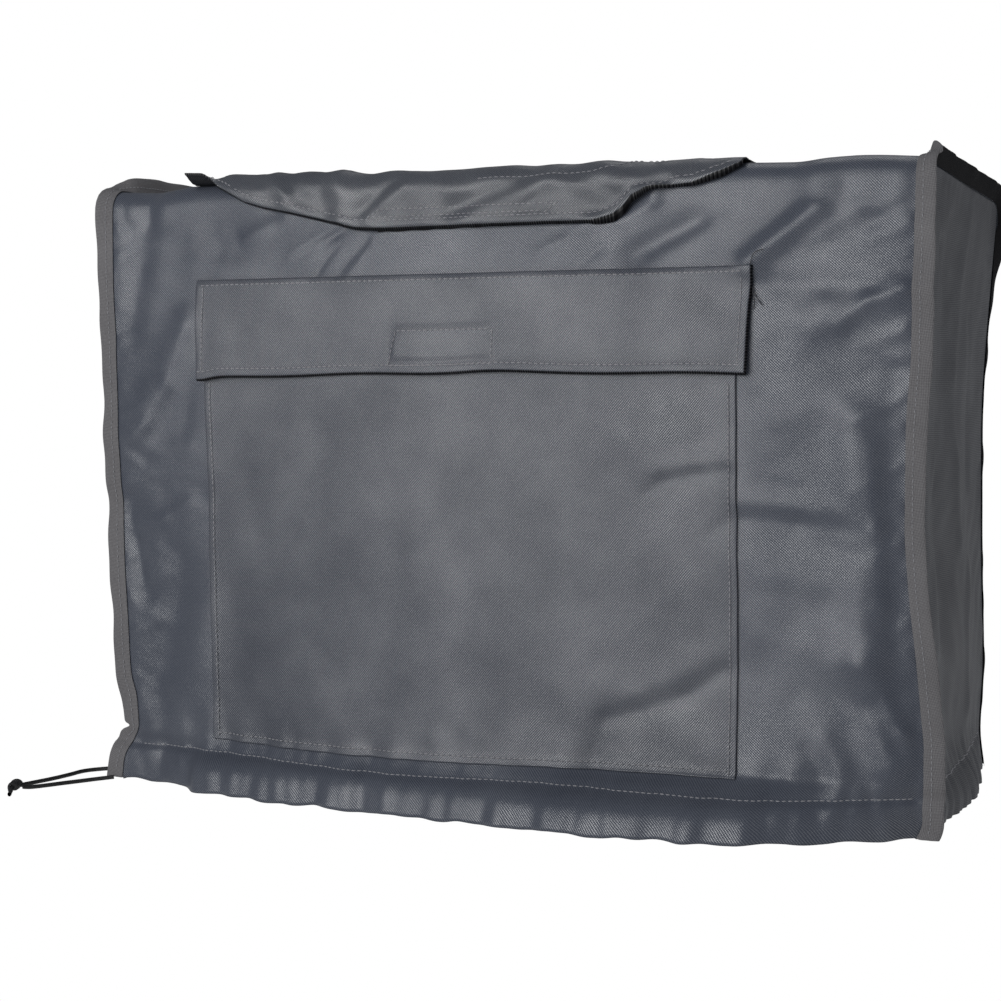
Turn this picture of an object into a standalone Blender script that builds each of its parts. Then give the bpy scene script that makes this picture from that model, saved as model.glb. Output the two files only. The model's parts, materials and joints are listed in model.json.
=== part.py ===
"""Fitted drawcord cover for a portable generator, modelled in metres, +Z up.

The cover is cut from five kinds of piece: one long wrap panel (front, top and
back in one length), two side panels, a binding tape over each side seam, a
patch pocket with its flap, and a flap over the front top edge with a strip of
hook-and-loop tape under it.  The hem is a folded channel of the panels
themselves; its drawcord comes out at the front left corner and both ends are
tied in one knot.

Frame: X runs along the front (+X to the right), Y goes back, Z is up, and the
origin lies on the ground under the middle of the cover.
Every table is in millimetres; mm() turns a value into metres.
"""

import bmesh
import bpy
import numpy as np
from mathutils import Vector

for old in list(bpy.data.objects):
    bpy.data.objects.remove(old, do_unlink=True)

# ------------------------------------------------------------ main sizes (mm)
SHEET = 1.2  # coated cloth with its coating and seam thickness
FRONT_Y = -128.0  # plane of the two front seams
BACK_Y = 172.0  # plane of the two back seams
EDGE_R = 15.0  # roundness of the front and back top edges
FLANGE = 13.0  # bound seam, seam line to free edge
TAPE_T = 2.4  # binding, both layers
SEAM_GAP = 0.6  # clear gap at a seam between two solids
LAP_GAP = 0.8  # clear gap under a piece sewn on the front
HEM_DEEP = 27.0  # drawcord channel
CORD_D = 3.0

COLUMNS = 30  # across the wrap panel
SIDE_COLUMNS = 11

# Front seams: height, left seam x, right seam x.
SEAMS = {
    "z": (0, 14, 30, 40, 60, 80, 118, 160, 205, 260, 315, 370, 440),
    "left": (-291, -290, -284, -279, -281, -286, -288, -291, -293, -295, -297, -299, -299),
    "right": (298, 303, 304, 305, 305, 303, 299, 294, 291, 291, 294, 295, 296),
}
# Back seams, drawn in a little more than the front ones.
BACK_SEAMS = {
    "z": (0, 30, 80, 160, 260, 370, 440),
    "left": (-284, -281, -283, -287, -289, -291, -292),
    "right": (282, 279, 281, 279, 278, 284, 289),
}
# How far the front stands out of the seam plane (+ is towards the viewer).
BULGE_X = (-300, -250, -200, -100, 0, 100, 190, 235, 262, 300)
BULGE_Z = (0, 16, 30, 40, 70, 120, 240, 360, 440)
BULGE = (
    (5, 13, 40, 54, 62, 69, 59, 36, 20, -14),
    (4, 12, 36, 50, 57, 63, 52, 33, 20, -6),
    (2, 8, 22, 39, 45, 44, 33, 24, 15, -1),
    (1, 6, 14, 30, 36, 26, 18, 14, 9, 0),
    (0, 5, 12, 26, 31, 23, 15, 12, 8, 0),
    (0, 5, 11, 21, 26, 20, 13, 10, 6, 0),
    (0, 4, 8, 13, 14, 12, 9, 6, 3, 0),
    (0, 2, 4, 6, 6, 6, 4, 3, 1, 0),
    (0, 0, 0, 0, 0, 0, 0, 0, 0, 0),
)
# Height of the front top edge along X.
TOP_LINE = {
    "x": (-300, -267, -234, -150, 0, 150, 216, 239, 256, 297),
    "z": (433, 431, 435, 436, 437, 437, 437, 439, 440, 438),
}
# Broad folds of the front: a run from (x1, z1) to (x2, z2), half width, height.
FRONT_FOLDS = (
    dict(x1=286, z1=300, x2=284, z2=135, half=9, high=-1.0),
    dict(x1=260, z1=270, x2=266, z2=120, half=15, high=6.0),
    dict(x1=268, z1=110, x2=288, z2=50, half=12, high=4.5),
    dict(x1=190, z1=372, x2=232, z2=404, half=13, high=4.0),
    dict(x1=110, z1=375, x2=150, z2=397, half=13, high=-3.0),
    dict(x1=232, z1=330, x2=288, z2=352, half=14, high=3.5),
    dict(x1=-238, z1=333, x2=-281, z2=255, half=14, high=3.5),
    dict(x1=-268, z1=420, x2=-285, z2=330, half=12, high=-3.0),
    dict(x1=-286, z1=205, x2=-272, z2=140, half=11, high=-3.5),
    dict(x1=-236, z1=150, x2=-262, z2=70, half=18, high=-4.0),
    dict(x1=190, z1=200, x2=262, z2=182, half=14, high=-2.5),
)
# Gathers that the drawcord pulls into the hem: x, half width, depth inwards.
GATHERS = {
    "x": (-263, -227, -186, -146, -108, -66, -22, 20, 62, 104, 148, 190, 224, 252, 280),
    "half": (15, 16, 16, 15, 17, 18, 18, 17, 18, 18, 18, 17, 14, 12, 12),
    "deep": (4, 3.5, 4.5, 4, 4.5, 3.5, 4, 4.5, 3.5, 4, 4.5, 4, 5, 4, 4),
}


def mm(*values):
    return tuple(v * 0.001 for v in values)


def smooth(xs, ys, x):
    """Monotone-ish cubic through a short table (Catmull-Rom slopes)."""
    xs, ys = np.asarray(xs, float), np.asarray(ys, float)
    x = float(np.clip(x, xs[0], xs[-1]))
    i = int(np.clip(np.searchsorted(xs, x) - 1, 0, len(xs) - 2))
    h = xs[i + 1] - xs[i]
    t = (x - xs[i]) / h

    def slope(k):
        if k == 0 or k == len(xs) - 1:
            a, b = (0, 1) if k == 0 else (len(xs) - 2, len(xs) - 1)
            return (ys[b] - ys[a]) / (xs[b] - xs[a])
        left = (ys[k] - ys[k - 1]) / (xs[k] - xs[k - 1])
        right = (ys[k + 1] - ys[k]) / (xs[k + 1] - xs[k])
        if left * right <= 0:
            return 0.0
        return 2 * left * right / (left + right)

    m0, m1 = slope(i) * h, slope(i + 1) * h
    t2, t3 = t * t, t * t * t
    return (
        (2 * t3 - 3 * t2 + 1) * ys[i]
        + (t3 - 2 * t2 + t) * m0
        + (3 * t2 - 2 * t3) * ys[i + 1]
        + (t3 - t2) * m1
    )


def ease(a, b, x):
    t = min(1.0, max(0.0, (x - a) / (b - a)))
    return t * t * (3 - 2 * t)


def fold_sum(folds, x, z):
    """Height of all broad folds at one place of a panel."""
    total = 0.0
    for f in folds:
        ax, az, bx, bz = f["x1"], f["z1"], f["x2"], f["z2"]
        dx, dz = bx - ax, bz - az
        run = dx * dx + dz * dz
        t = ((x - ax) * dx + (z - az) * dz) / run
        c = min(1.0, max(0.0, t))
        px, pz = ax + c * dx, az + c * dz
        gone = ((x - px) ** 2 + (z - pz) ** 2) / f["half"] ** 2
        total += f["high"] * float(np.exp(-gone))
    return total


def gather_sum(x):
    g = GATHERS
    return sum(
        d * float(np.exp(-(((x - c) / (0.55 * h)) ** 2)))
        for c, h, d in zip(g["x"], g["half"], g["deep"])
    )


def bulge(x, z):
    column = [smooth(BULGE_X, row, x) for row in BULGE]
    return smooth(BULGE_Z, column, z)


def pinch(z):
    """The hem stitch line draws the cloth in above the channel."""
    return 2.5 * float(np.exp(-(((z - HEM_DEEP - 3) / 6.0) ** 2)))


def front_y(x, z):
    out = bulge(x, z) + fold_sum(FRONT_FOLDS, x, z)
    low = 1 - ease(22, 38, z)
    out -= gather_sum(x) * low * (0.55 + 0.45 * (1 - z / 30.0))
    return FRONT_Y - out + pinch(z) * (1 - ease(34, 44, z))


def top_line(x):
    return smooth(TOP_LINE["x"], TOP_LINE["z"], x)


def top_z(x, y):
    """The top sags softly between its four edges."""
    u = (x + 298) / 596
    v = (y - FRONT_Y) / (BACK_Y - FRONT_Y)
    u, v = min(1, max(0, u)), min(1, max(0, v))
    span = np.sin(np.pi * u) ** 0.7 * ease(0.08, 0.45, v) * ease(0.08, 0.45, 1 - v)
    ripple = 1.6 * np.sin(u * 9.0 + v * 2.2) * np.sin(np.pi * v)
    level = top_line(x) * (1 - v) + (434 + 2 * np.sin(u * 5) - 6 * ease(0.75, 1.0, u)) * v
    return level - 8.0 * span + ripple * span


def back_y(x, z):
    u = min(1, max(0, (x + 290) / 575))
    span = np.sin(np.pi * u) ** 1.1
    high = min(1, max(0, z / 436))
    out = 9 * span * (1 - high) * high * 2.2 + 3 * span * np.sin(u * 11 + 0.6)
    out += 26 * span * (1 - ease(0, 46, z))
    out += 3.0 * span * (1 - ease(0, 30, z)) * np.sin(u * 58)
    out *= 1 - ease(400, 436, z)
    return BACK_Y + out


def left_x(z, table=SEAMS):
    return smooth(table["z"], table["left"], z)


def right_x(z, table=SEAMS):
    return smooth(table["z"], table["right"], z)


# ------------------------------------------------- the seam path of one side
FRONT_ROWS = (0, 8, 16, 23, 29, 34, 42, 58, 82, 115, 155, 198, 242, 286, 326, 362, 392, 412)
TOP_ROWS = (-98, -62, -12, 45, 100, 145)
BACK_ROWS = (405, 370, 320, 262, 200, 140, 90, 52, 30, 16, 0)
ARC_STEPS = 3


def loop_rows():
    """Stations round the loop: where each row of the wrap panel lies."""
    rows = [("front", z) for z in FRONT_ROWS]
    rows += [("front_edge", (k + 0.5) / ARC_STEPS) for k in range(ARC_STEPS)]
    rows += [("top", y) for y in TOP_ROWS]
    rows += [("back_edge", (k + 0.5) / ARC_STEPS) for k in range(ARC_STEPS)]
    rows += [("back", z) for z in BACK_ROWS]
    return rows


def side_x(kind, value, hand):
    pick = left_x if hand < 0 else right_x
    if kind == "front":
        return pick(value)
    if kind == "front_edge":
        return pick(432)
    if kind == "back":
        return pick(value, BACK_SEAMS)
    if kind == "back_edge":
        return pick(432, BACK_SEAMS)
    t = (value - FRONT_Y) / (BACK_Y - FRONT_Y)
    return pick(440) * (1 - t) + pick(440, BACK_SEAMS) * t


def wrap_point(kind, value, across):
    """A point of the wrap panel's outer face; across runs 0 to 1, left to right."""
    x = side_x(kind, value, -1) * (1 - across) + side_x(kind, value, 1) * across
    if kind == "front":
        return x, front_y(x, value), value
    if kind == "top":
        return x, value, top_z(x, value)
    if kind == "back":
        return x, back_y(x, value), value
    turn = value * np.pi / 2
    if kind == "front_edge":
        low, high = (front_y(x, 412), 412.0), (-98.0, top_z(x, -98))
    else:
        low, high = (back_y(x, 405), 405.0), (145.0, top_z(x, 145))
        turn = (1 - value) * np.pi / 2
    # a round corner between the last flat rows of the two faces
    y0, z1 = low[0], high[1]
    sign = 1.0 if kind == "front_edge" else -1.0
    y = y0 + sign * EDGE_R * (1 - np.cos(turn))
    z = z1 - EDGE_R * (1 - np.sin(turn))
    return x, y, z


# ----------------------------------------------------------- making objects
def material(name, colour, rough, metal=0.0):
    m = bpy.data.materials.new(name)
    m.use_nodes = True
    p = m.node_tree.nodes["Principled BSDF"]
    p.inputs["Base Color"].default_value = (*colour, 1)
    p.inputs["Roughness"].default_value = rough
    p.inputs["Metallic"].default_value = metal
    return m


def link(name, data, mat):
    ob = bpy.data.objects.new(name, data)
    bpy.context.scene.collection.objects.link(ob)
    data.materials.append(mat)
    return ob


def sheet(name, grid, outward, mat, thick=SHEET):
    """A sheet whose outer face is the grid of points, thickened inwards."""
    bm = bmesh.new()
    made = [[bm.verts.new(mm(*p)) for p in row] for row in grid]
    for a, b in zip(made, made[1:]):
        for k in range(len(a) - 1):
            bm.faces.new((a[k], a[k + 1], b[k + 1], b[k]))
    bm.normal_update()
    bm.faces.ensure_lookup_table()
    middle = bm.faces[len(bm.faces) // 2]
    if middle.normal.dot(Vector(outward)) < 0:
        bmesh.ops.reverse_faces(bm, faces=bm.faces[:])
    me = bpy.data.meshes.new(name)
    bm.to_mesh(me)
    bm.free()
    me.shade_smooth()
    ob = link(name, me, mat)
    s = ob.modifiers.new("thickness", "SOLIDIFY")
    s.thickness = thick * 0.001
    s.offset = -1
    s.use_even_offset = False
    s.use_rim = True
    return ob


def bar(name, sections, mat):
    """A closed bar lofted through four-cornered sections, capped at both ends."""
    bm = bmesh.new()
    rings = [[bm.verts.new(mm(*p)) for p in ring] for ring in sections]
    for a, b in zip(rings, rings[1:]):
        n = len(a)
        for k in range(n):
            bm.faces.new((a[k], a[(k + 1) % n], b[(k + 1) % n], b[k]))
    bm.faces.new(list(reversed(rings[0])))
    bm.faces.new(rings[-1])
    bmesh.ops.recalc_face_normals(bm, faces=bm.faces[:])
    me = bpy.data.meshes.new(name)
    bm.to_mesh(me)
    bm.free()
    me.shade_smooth()
    me.set_sharp_from_angle(angle=np.radians(40))
    return link(name, me, mat)


cloth = material("coated_cloth", (0.105, 0.115, 0.135), 0.5)
side_cloth = material("side_cloth", (0.095, 0.1, 0.11), 0.55)
tape = material("binding_tape", (0.12, 0.118, 0.122), 0.85)
pocket_cloth = material("pocket_cloth", (0.11, 0.12, 0.14), 0.55)
flap_cloth = material("flap_cloth", (0.11, 0.118, 0.135), 0.5)
black = material("hook_and_loop", (0.012, 0.012, 0.013), 0.9)
cord_mat = material("drawcord", (0.01, 0.01, 0.011), 0.7)

# ------------------------------------------------------------- wrap panel
ROWS = loop_rows()
wrap_grid = [
    [wrap_point(kind, value, k / COLUMNS) for k in range(COLUMNS + 1)]
    for kind, value in ROWS
]
sheet("wrap_panel", wrap_grid, (0, 0, 1), cloth)

# ------------------------------------------------------------- side panels
SIDE_ROWS = (0, 8, 16, 23, 29, 34, 42, 58, 90, 130, 180, 235, 290, 340, 382, 410, 423, 429, 432)
# Soft hollows and swells of each side: y, z, half widths along both, height.
SIDE_SWELLS = {
    1: (
        dict(y=10, z=330, wy=60, wz=90, high=-5.0),
        dict(y=-60, z=230, wy=26, wz=130, high=3.5),
        dict(y=-10, z=180, wy=24, wz=120, high=-4.0),
        dict(y=70, z=220, wy=34, wz=150, high=3.0),
        dict(y=0, z=70, wy=80, wz=40, high=-3.0),
    ),
    -1: (
        dict(y=20, z=300, wy=70, wz=100, high=-6.0),
        dict(y=-70, z=200, wy=28, wz=120, high=3.0),
        dict(y=90, z=170, wy=32, wz=130, high=3.0),
        dict(y=0, z=120, wy=50, wz=60, high=-3.0),
    ),
}


def side_point(hand, row_z, t):
    """A point of a side panel; t runs 0 to 1 from the front seam to the back."""
    inset = SHEET + 3 * SEAM_GAP
    a = (hand + 1) // 2  # 0 is the left end of a wrap row, 1 the right end
    crown = 432.0
    z = row_z
    # the panel's edges follow the wrap panel, one sheet and one gap inside it
    drop = max(0.0, row_z - (crown - EDGE_R))
    cut = EDGE_R - np.sqrt(max(0.0, EDGE_R**2 - drop**2))
    xf = side_x("front", min(row_z, 440), hand)
    y_front = front_y(xf, min(row_z, 412)) + inset + cut
    xb = side_x("back", min(row_z, 440), hand)
    y_back = back_y(xb, min(row_z, 405)) - inset - cut
    y = y_front * (1 - t) + y_back * t
    x = xf * (1 - t) + xb * t
    span = np.sin(np.pi * t) ** 1.3
    swell = 0.0
    for s in SIDE_SWELLS[hand]:
        swell += s["high"] * float(
            np.exp(-(((y - s["y"]) / s["wy"]) ** 2) - ((z - s["z"]) / s["wz"]) ** 2)
        )
    flare = 15.0 * (1 - ease(0, 50, z)) * span
    gather = 2.5 * np.sin(t * 34 + hand) * (1 - ease(20, 38, z)) * span
    top_fade = 1 - ease(380, 432, z)
    x += hand * (swell * span * top_fade + flare + gather)
    if drop > 0:
        z = min(row_z, crown)
    ends = [wrap_point("top", yy, a)[2] for yy in (-98, 145)]
    level = ends[0] * (1 - t) + ends[1] * t - inset
    z = row_z + (level - crown) * ease(330, crown, row_z)
    return x, y, z


for hand, name in ((-1, "side_left"), (1, "side_right")):
    grid = [
        [side_point(hand, z, k / SIDE_COLUMNS) for k in range(SIDE_COLUMNS + 1)]
        for z in SIDE_ROWS
    ]
    sheet(name, grid, (hand, 0, 0), side_cloth)

# ------------------------------------------------------------ binding tapes
# How the flange stands at each stretch: outwards along X, and upwards.
STAND = {
    "front": (1.0, 0.0, 0.0),
    "front_edge": (0.95, -0.15, 0.20),
    "top": (0.28, 0.0, 0.96),
    "back_edge": (0.60, 0.35, 0.70),
    "back": (1.0, 0.0, 0.0),
}
# Down the back the flange folds away behind the cover: height, how far.
AWAY = {"z": (330, 345, 370, 400, 430, 440), "part": (1.0, 0.86, 0.78, 0.57, 0.42, 0.35)}


def binding(name, hand):
    seam = []
    for kind, value in ROWS:
        p = np.array(wrap_point(kind, value, (hand + 1) // 2))
        d = np.array(STAND[kind]) * (hand, 1, 1)
        if kind == "front":
            d[2] = 0.1 * ease(385, 412, value)
        if kind == "back":
            away = smooth(AWAY["z"], AWAY["part"], value)
            d = d + away * (np.array((-0.22 * hand, 1.0, 0.0)) - d)
            p = p + np.array((0.5 * hand, 1.2, 0.0)) * away
        seam.append((p, d / np.linalg.norm(d)))
    sections = []
    for i, (p, d) in enumerate(seam):
        a, b = seam[max(0, i - 1)][0], seam[min(len(seam) - 1, i + 1)][0]
        run = (b - a) / np.linalg.norm(b - a)
        d = d - run * float(d @ run)
        d /= np.linalg.norm(d)
        across = np.cross(run, d)
        inner, outer = p + d * SEAM_GAP, p + d * (SEAM_GAP + FLANGE)
        h = across * TAPE_T / 2
        ring = [inner + h, outer + h, outer - h, inner - h]
        for q in ring:
            q[2] = max(q[2], 0.4)  # the tape's cut end stays off the ground
        sections.append(ring)
    return bar(name, sections, tape)


binding("binding_left", -1)
binding("binding_right", 1)

# ------------------------------------------------------------- patch pocket
# Pocket outline: height, left edge x, right edge x.
POCKET = {
    "z": (37, 95, 150, 205, 260, 300, 352),
    "left": (-207, -209, -211, -212, -215, -217, -218),
    "right": (187, 186, 185, 183, 182, 181, 181),
}
LAP = LAP_GAP + SHEET
FRONT_GRID = wrap_grid[: len(FRONT_ROWS)]


def on_front(x, z):
    """y of the wrap panel's outer facets at one place of the front."""
    ys = [np.interp(x, [p[0] for p in row], [p[1] for p in row]) for row in FRONT_GRID]
    return float(np.interp(z, FRONT_ROWS, ys))


def patch_row(xl, xr, z, first, last):
    """Points of a patch at one height: its edges, and the wrap's columns between."""
    a, b = left_x(z), right_x(z)
    xs = [xl] + [a + (b - a) * k / COLUMNS for k in range(first, last + 1)] + [xr]
    return xs


POCKET_ROWS = (37, 42, 58, 82, 115, 155, 198, 242, 286, 326, 352)
POCKET_FIRST, POCKET_LAST = 5, 23  # wrap columns that lie well inside the pocket
POCKET_COLUMNS = 14  # of the flap

pocket_grid = []
for z in POCKET_ROWS:
    xl = smooth(POCKET["z"], POCKET["left"], z)
    xr = smooth(POCKET["z"], POCKET["right"], z)
    row = []
    for x in patch_row(xl, xr, z, POCKET_FIRST, POCKET_LAST):
        row.append((x, on_front(x, z) - LAP - 0.3, z))
    pocket_grid.append(row)
sheet("pocket_panel", pocket_grid, (0, -1, 0), pocket_cloth)

# ------------------------------------------------------------- pocket flap
# Rows of the flap: height and how far it stands off the front.
POCKET_FLAP = {
    "z": (366, 358, 350, 332, 315, 297),
    "off": (2.2, 3.2, 4.6, 5.2, 6.2, 7.4),
    "left": (-224, -224, -223, -222, -221, -220),
    "right": (191, 191, 190, 189, 188, 188),
}
flap_grid = []
for i, z in enumerate(POCKET_FLAP["z"]):
    xl, xr = POCKET_FLAP["left"][i], POCKET_FLAP["right"][i]
    row = []
    for k in range(POCKET_COLUMNS + 1):
        x = xl + (xr - xl) * k / POCKET_COLUMNS
        lift = 2.0 * np.sin(np.pi * k / POCKET_COLUMNS) * (366 - z) / 69
        z_here = z + (x + 224) / 415 * 3.0 + lift
        row.append((x, on_front(x, z_here) - POCKET_FLAP["off"][i] - 0.8, z_here))
    flap_grid.append(row)
sheet("pocket_flap", flap_grid, (0, -1, 0), pocket_cloth)

# ------------------------------------------------- hook-and-loop strip, front
STRIP = dict(x1=-79, x2=66, low=397, wide=25, thick=1.6)
strip_grid = []
for j in range(4):
    row = []
    for k in range(9):
        x = STRIP["x1"] + (STRIP["x2"] - STRIP["x1"]) * k / 8
        z = STRIP["low"] + STRIP["wide"] * j / 3 + (x - STRIP["x1"]) / 145 * 3
        row.append((x, on_front(x, min(z, 412)) - STRIP["thick"] - 0.7, z))
    strip_grid.append(row)
sheet("top_tape", strip_grid, (0, -1, 0), black, STRIP["thick"])

# ---------------------------------------------------- flap over the top edge
# Lower edge of the flap along X.
TOP_FLAP_EDGE = {
    "x": (-232, -203, -184, -148, -112, -94, 0, 85, 93, 106, 118, 155, 182),
    "z": (438, 431, 422, 413, 405, 401, 401, 401, 404, 411, 419, 424, 435),
}
TOP_FLAP_COLUMNS = 20
TOP_FLAP_ROWS = 7
FLAP_BACK_Y = -78.0  # where the flap is sewn to the top
# Height of the flap's crest along X, and the roundness of its bend.
FLAP_CREST = {"x": (-232, -100, 0, 100, 182), "z": (441.2, 441, 440.2, 440, 440)}
FLAP_BEND = 17.0


def flap_path(x):
    """The flap from its seam on the top, over the edge and down, at one x."""
    crest = smooth(FLAP_CREST["x"], FLAP_CREST["z"], x)
    path = [(FLAP_BACK_Y, top_z(x, FLAP_BACK_Y) + SHEET + 1.2)]
    path.append((-100.0, max(top_z(x, -100) + SHEET + 1.2, crest - 1.0)))
    path.append((-118.0, crest))
    for k in range(1, 7):
        a = k / 6 * np.pi / 2
        path.append(
            (-118 - FLAP_BEND * np.sin(a), crest - FLAP_BEND * (1 - np.cos(a)))
        )
    for z in (418.0, 411.0, 404.0, 402.0):
        path.append((min(front_y(x, min(z, 412)) - 7.0, -134.5), z))
    return path


def cut_path(path, end_z):
    """The path up to the height where the flap's edge lies, in equal steps."""
    kept = [path[0], path[1], path[2]]
    for a, b in zip(path[2:], path[3:]):
        if b[1] <= end_z:
            t = 0 if a[1] == b[1] else (a[1] - end_z) / (a[1] - b[1])
            kept.append((a[0] + (b[0] - a[0]) * t, a[1] + (b[1] - a[1]) * t))
            break
        kept.append(b)
    p = np.array(kept)
    run = np.concatenate([[0], np.cumsum(np.hypot(*np.diff(p, axis=0).T))])
    want = np.linspace(0, run[-1], TOP_FLAP_ROWS + 1)
    return np.stack([np.interp(want, run, p[:, 0]), np.interp(want, run, p[:, 1])], 1)


columns = []
x_first, x_last = TOP_FLAP_EDGE["x"][0], TOP_FLAP_EDGE["x"][-1]
for k in range(TOP_FLAP_COLUMNS + 1):
    x = x_first + (x_last - x_first) * k / TOP_FLAP_COLUMNS
    edge = float(np.interp(x, TOP_FLAP_EDGE["x"], TOP_FLAP_EDGE["z"]))
    columns.append([(x, y, z) for y, z in cut_path(flap_path(x), edge)])
top_flap_grid = [[c[j] for c in columns] for j in range(TOP_FLAP_ROWS + 1)]
sheet("top_flap", top_flap_grid, (0, -0.5, 1), flap_cloth)

# ---------------------------------------------------------------- drawcord
# Both free ends lie on the ground; x, y of each run from the hem to the knot.
CORD_UPPER = {
    "x": (-309, -322, -330, -331, -333, -337, -337),
    "y": (-112, -115, -126, -144, -163, -183, -198),
    "z": (3.4, 2.2, 1.9, 1.9, 1.9, 1.9, 2.6),
}
CORD_LOWER = {
    "x": (-292, -301, -309, -316, -322, -328, -331),
    "y": (-143.5, -151, -163, -176, -188, -197, -201.5),
    "z": (3.0, 2.2, 1.9, 1.9, 1.9, 1.9, 2.6),
}
CORD_POINTS = 22


def route(table):
    """Evenly spaced points of a smooth curve through the route's own points."""
    p = np.stack([table["x"], table["y"], table["z"]], 1).astype(float)
    n = len(p)
    fine = []
    for i in range(n - 1):
        a, b, c, d = p[max(0, i - 1)], p[i], p[i + 1], p[min(n - 1, i + 2)]
        for t in np.linspace(0, 1, 12, endpoint=False):
            fine.append(
                0.5
                * (
                    2 * b
                    + (c - a) * t
                    + (2 * a - 5 * b + 4 * c - d) * t**2
                    + (3 * b - a - 3 * c + d) * t**3
                )
            )
    fine.append(p[-1])
    fine = np.array(fine)
    run = np.concatenate([[0], np.cumsum(np.linalg.norm(np.diff(fine, axis=0), axis=1))])
    want = np.linspace(0, run[-1], CORD_POINTS)
    return np.stack([np.interp(want, run, fine[:, k]) for k in range(3)], 1)


def cord(name, table):
    pts = route(table)
    cu = bpy.data.curves.new(name, "CURVE")
    cu.dimensions = "3D"
    sp = cu.splines.new("POLY")
    sp.points.add(len(pts) - 1)
    for q, p in zip(sp.points, pts):
        q.co = (*mm(*p), 1)
    cu.bevel_depth = CORD_D / 2 * 0.001
    cu.bevel_resolution = 2
    cu.resolution_u = 1
    cu.render_resolution_u = 0
    cu.use_fill_caps = True
    return link(name, cu, cord_mat)


cord("cord_upper", CORD_UPPER)
cord("cord_lower", CORD_LOWER)

# The knot: both ends tied as one, two lobes and a short tail.
KNOT = {
    "x": (-335.5, -334.5, -333.5, -332.5, -331.5, -330.0, -328.0, -325.5, -323.5),
    "y": (-202.6, -204.0, -206.5, -209.5, -212.5, -215.5, -218.0, -223.0, -228.0),
    "r": (2.2, 4.4, 5.2, 4.6, 4.9, 4.4, 2.6, 2.0, 1.8),
}
KNOT_SIDES = 10
rings = []
for i, (kx, ky, kr) in enumerate(zip(KNOT["x"], KNOT["y"], KNOT["r"])):
    j, k = max(0, i - 1), min(len(KNOT["x"]) - 1, i + 1)
    run = Vector((KNOT["x"][k] - KNOT["x"][j], KNOT["y"][k] - KNOT["y"][j], 0)).normalized()
    side = run.cross(Vector((0, 0, 1)))
    ring = []
    for s in range(KNOT_SIDES):
        a = 2 * np.pi * s / KNOT_SIDES
        c = Vector((kx, ky, kr * 0.92 + 0.5))
        q = c + side * (kr * np.cos(a)) + Vector((0, 0, kr * 0.92 * np.sin(a)))
        ring.append(tuple(q))
    rings.append(ring)
bar("cord_knot", rings, cord_mat)
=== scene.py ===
"""Looks of the fitted drawcord cover: coated woven cloth with its creases, bound
seams, stitching, patch pocket, flaps and drawcord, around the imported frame.

Tables are in millimetres in the model's own frame; M turns them into metres.
"""

import json

import bpy
import numpy as np
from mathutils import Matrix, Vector

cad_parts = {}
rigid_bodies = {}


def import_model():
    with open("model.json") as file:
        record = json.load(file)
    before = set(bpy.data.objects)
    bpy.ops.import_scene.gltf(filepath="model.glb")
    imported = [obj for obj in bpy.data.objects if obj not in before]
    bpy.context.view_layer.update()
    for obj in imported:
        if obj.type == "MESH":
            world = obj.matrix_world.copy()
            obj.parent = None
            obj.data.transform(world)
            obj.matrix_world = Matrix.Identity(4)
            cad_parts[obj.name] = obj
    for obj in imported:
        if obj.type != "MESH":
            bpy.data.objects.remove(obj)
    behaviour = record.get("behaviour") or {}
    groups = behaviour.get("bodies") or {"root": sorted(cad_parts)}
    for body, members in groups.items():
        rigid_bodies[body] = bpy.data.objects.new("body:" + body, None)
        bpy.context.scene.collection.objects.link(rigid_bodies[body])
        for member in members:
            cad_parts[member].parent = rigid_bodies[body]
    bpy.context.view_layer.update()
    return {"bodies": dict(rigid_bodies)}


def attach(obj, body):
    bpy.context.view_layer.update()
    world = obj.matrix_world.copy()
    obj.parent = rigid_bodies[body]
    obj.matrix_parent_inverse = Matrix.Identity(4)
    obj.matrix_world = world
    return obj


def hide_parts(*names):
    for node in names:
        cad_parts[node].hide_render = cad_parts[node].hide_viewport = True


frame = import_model()
M = 0.001
BODY = list(frame["bodies"])[0]
rng = np.random.default_rng(7)

# ---------------------------------------------------------------- camera
cam_data = bpy.data.cameras.new("camera")
cam_data.sensor_fit = "HORIZONTAL"
cam_data.sensor_width = 36.0
cam_data.lens = 80.8
cam = bpy.data.objects.new("camera", cam_data)
bpy.context.scene.collection.objects.link(cam)
AZIMUTH, PITCH = np.radians(23.5), np.radians(3.2)
cam.location = (0.6224, -1.5332, 0.2983)
ahead = Vector(
    (-np.sin(AZIMUTH) * np.cos(PITCH), np.cos(AZIMUTH) * np.cos(PITCH), -np.sin(PITCH))
)
cam.rotation_euler = ahead.to_track_quat("-Z", "Y").to_euler()
bpy.context.scene.camera = cam

# ------------------------------------------------ the cover's own sizes (mm)
FRONT_Y, BACK_Y, EDGE_R = -128.0, 172.0, 15.0
FLANGE, TAPE_T, SEAM_GAP = 13.0, 2.4, 0.6
HEM_DEEP = 27.0
FRONT_TOP, BACK_TOP = 412.0, 405.0
ARC = EDGE_R * np.pi / 2

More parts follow.
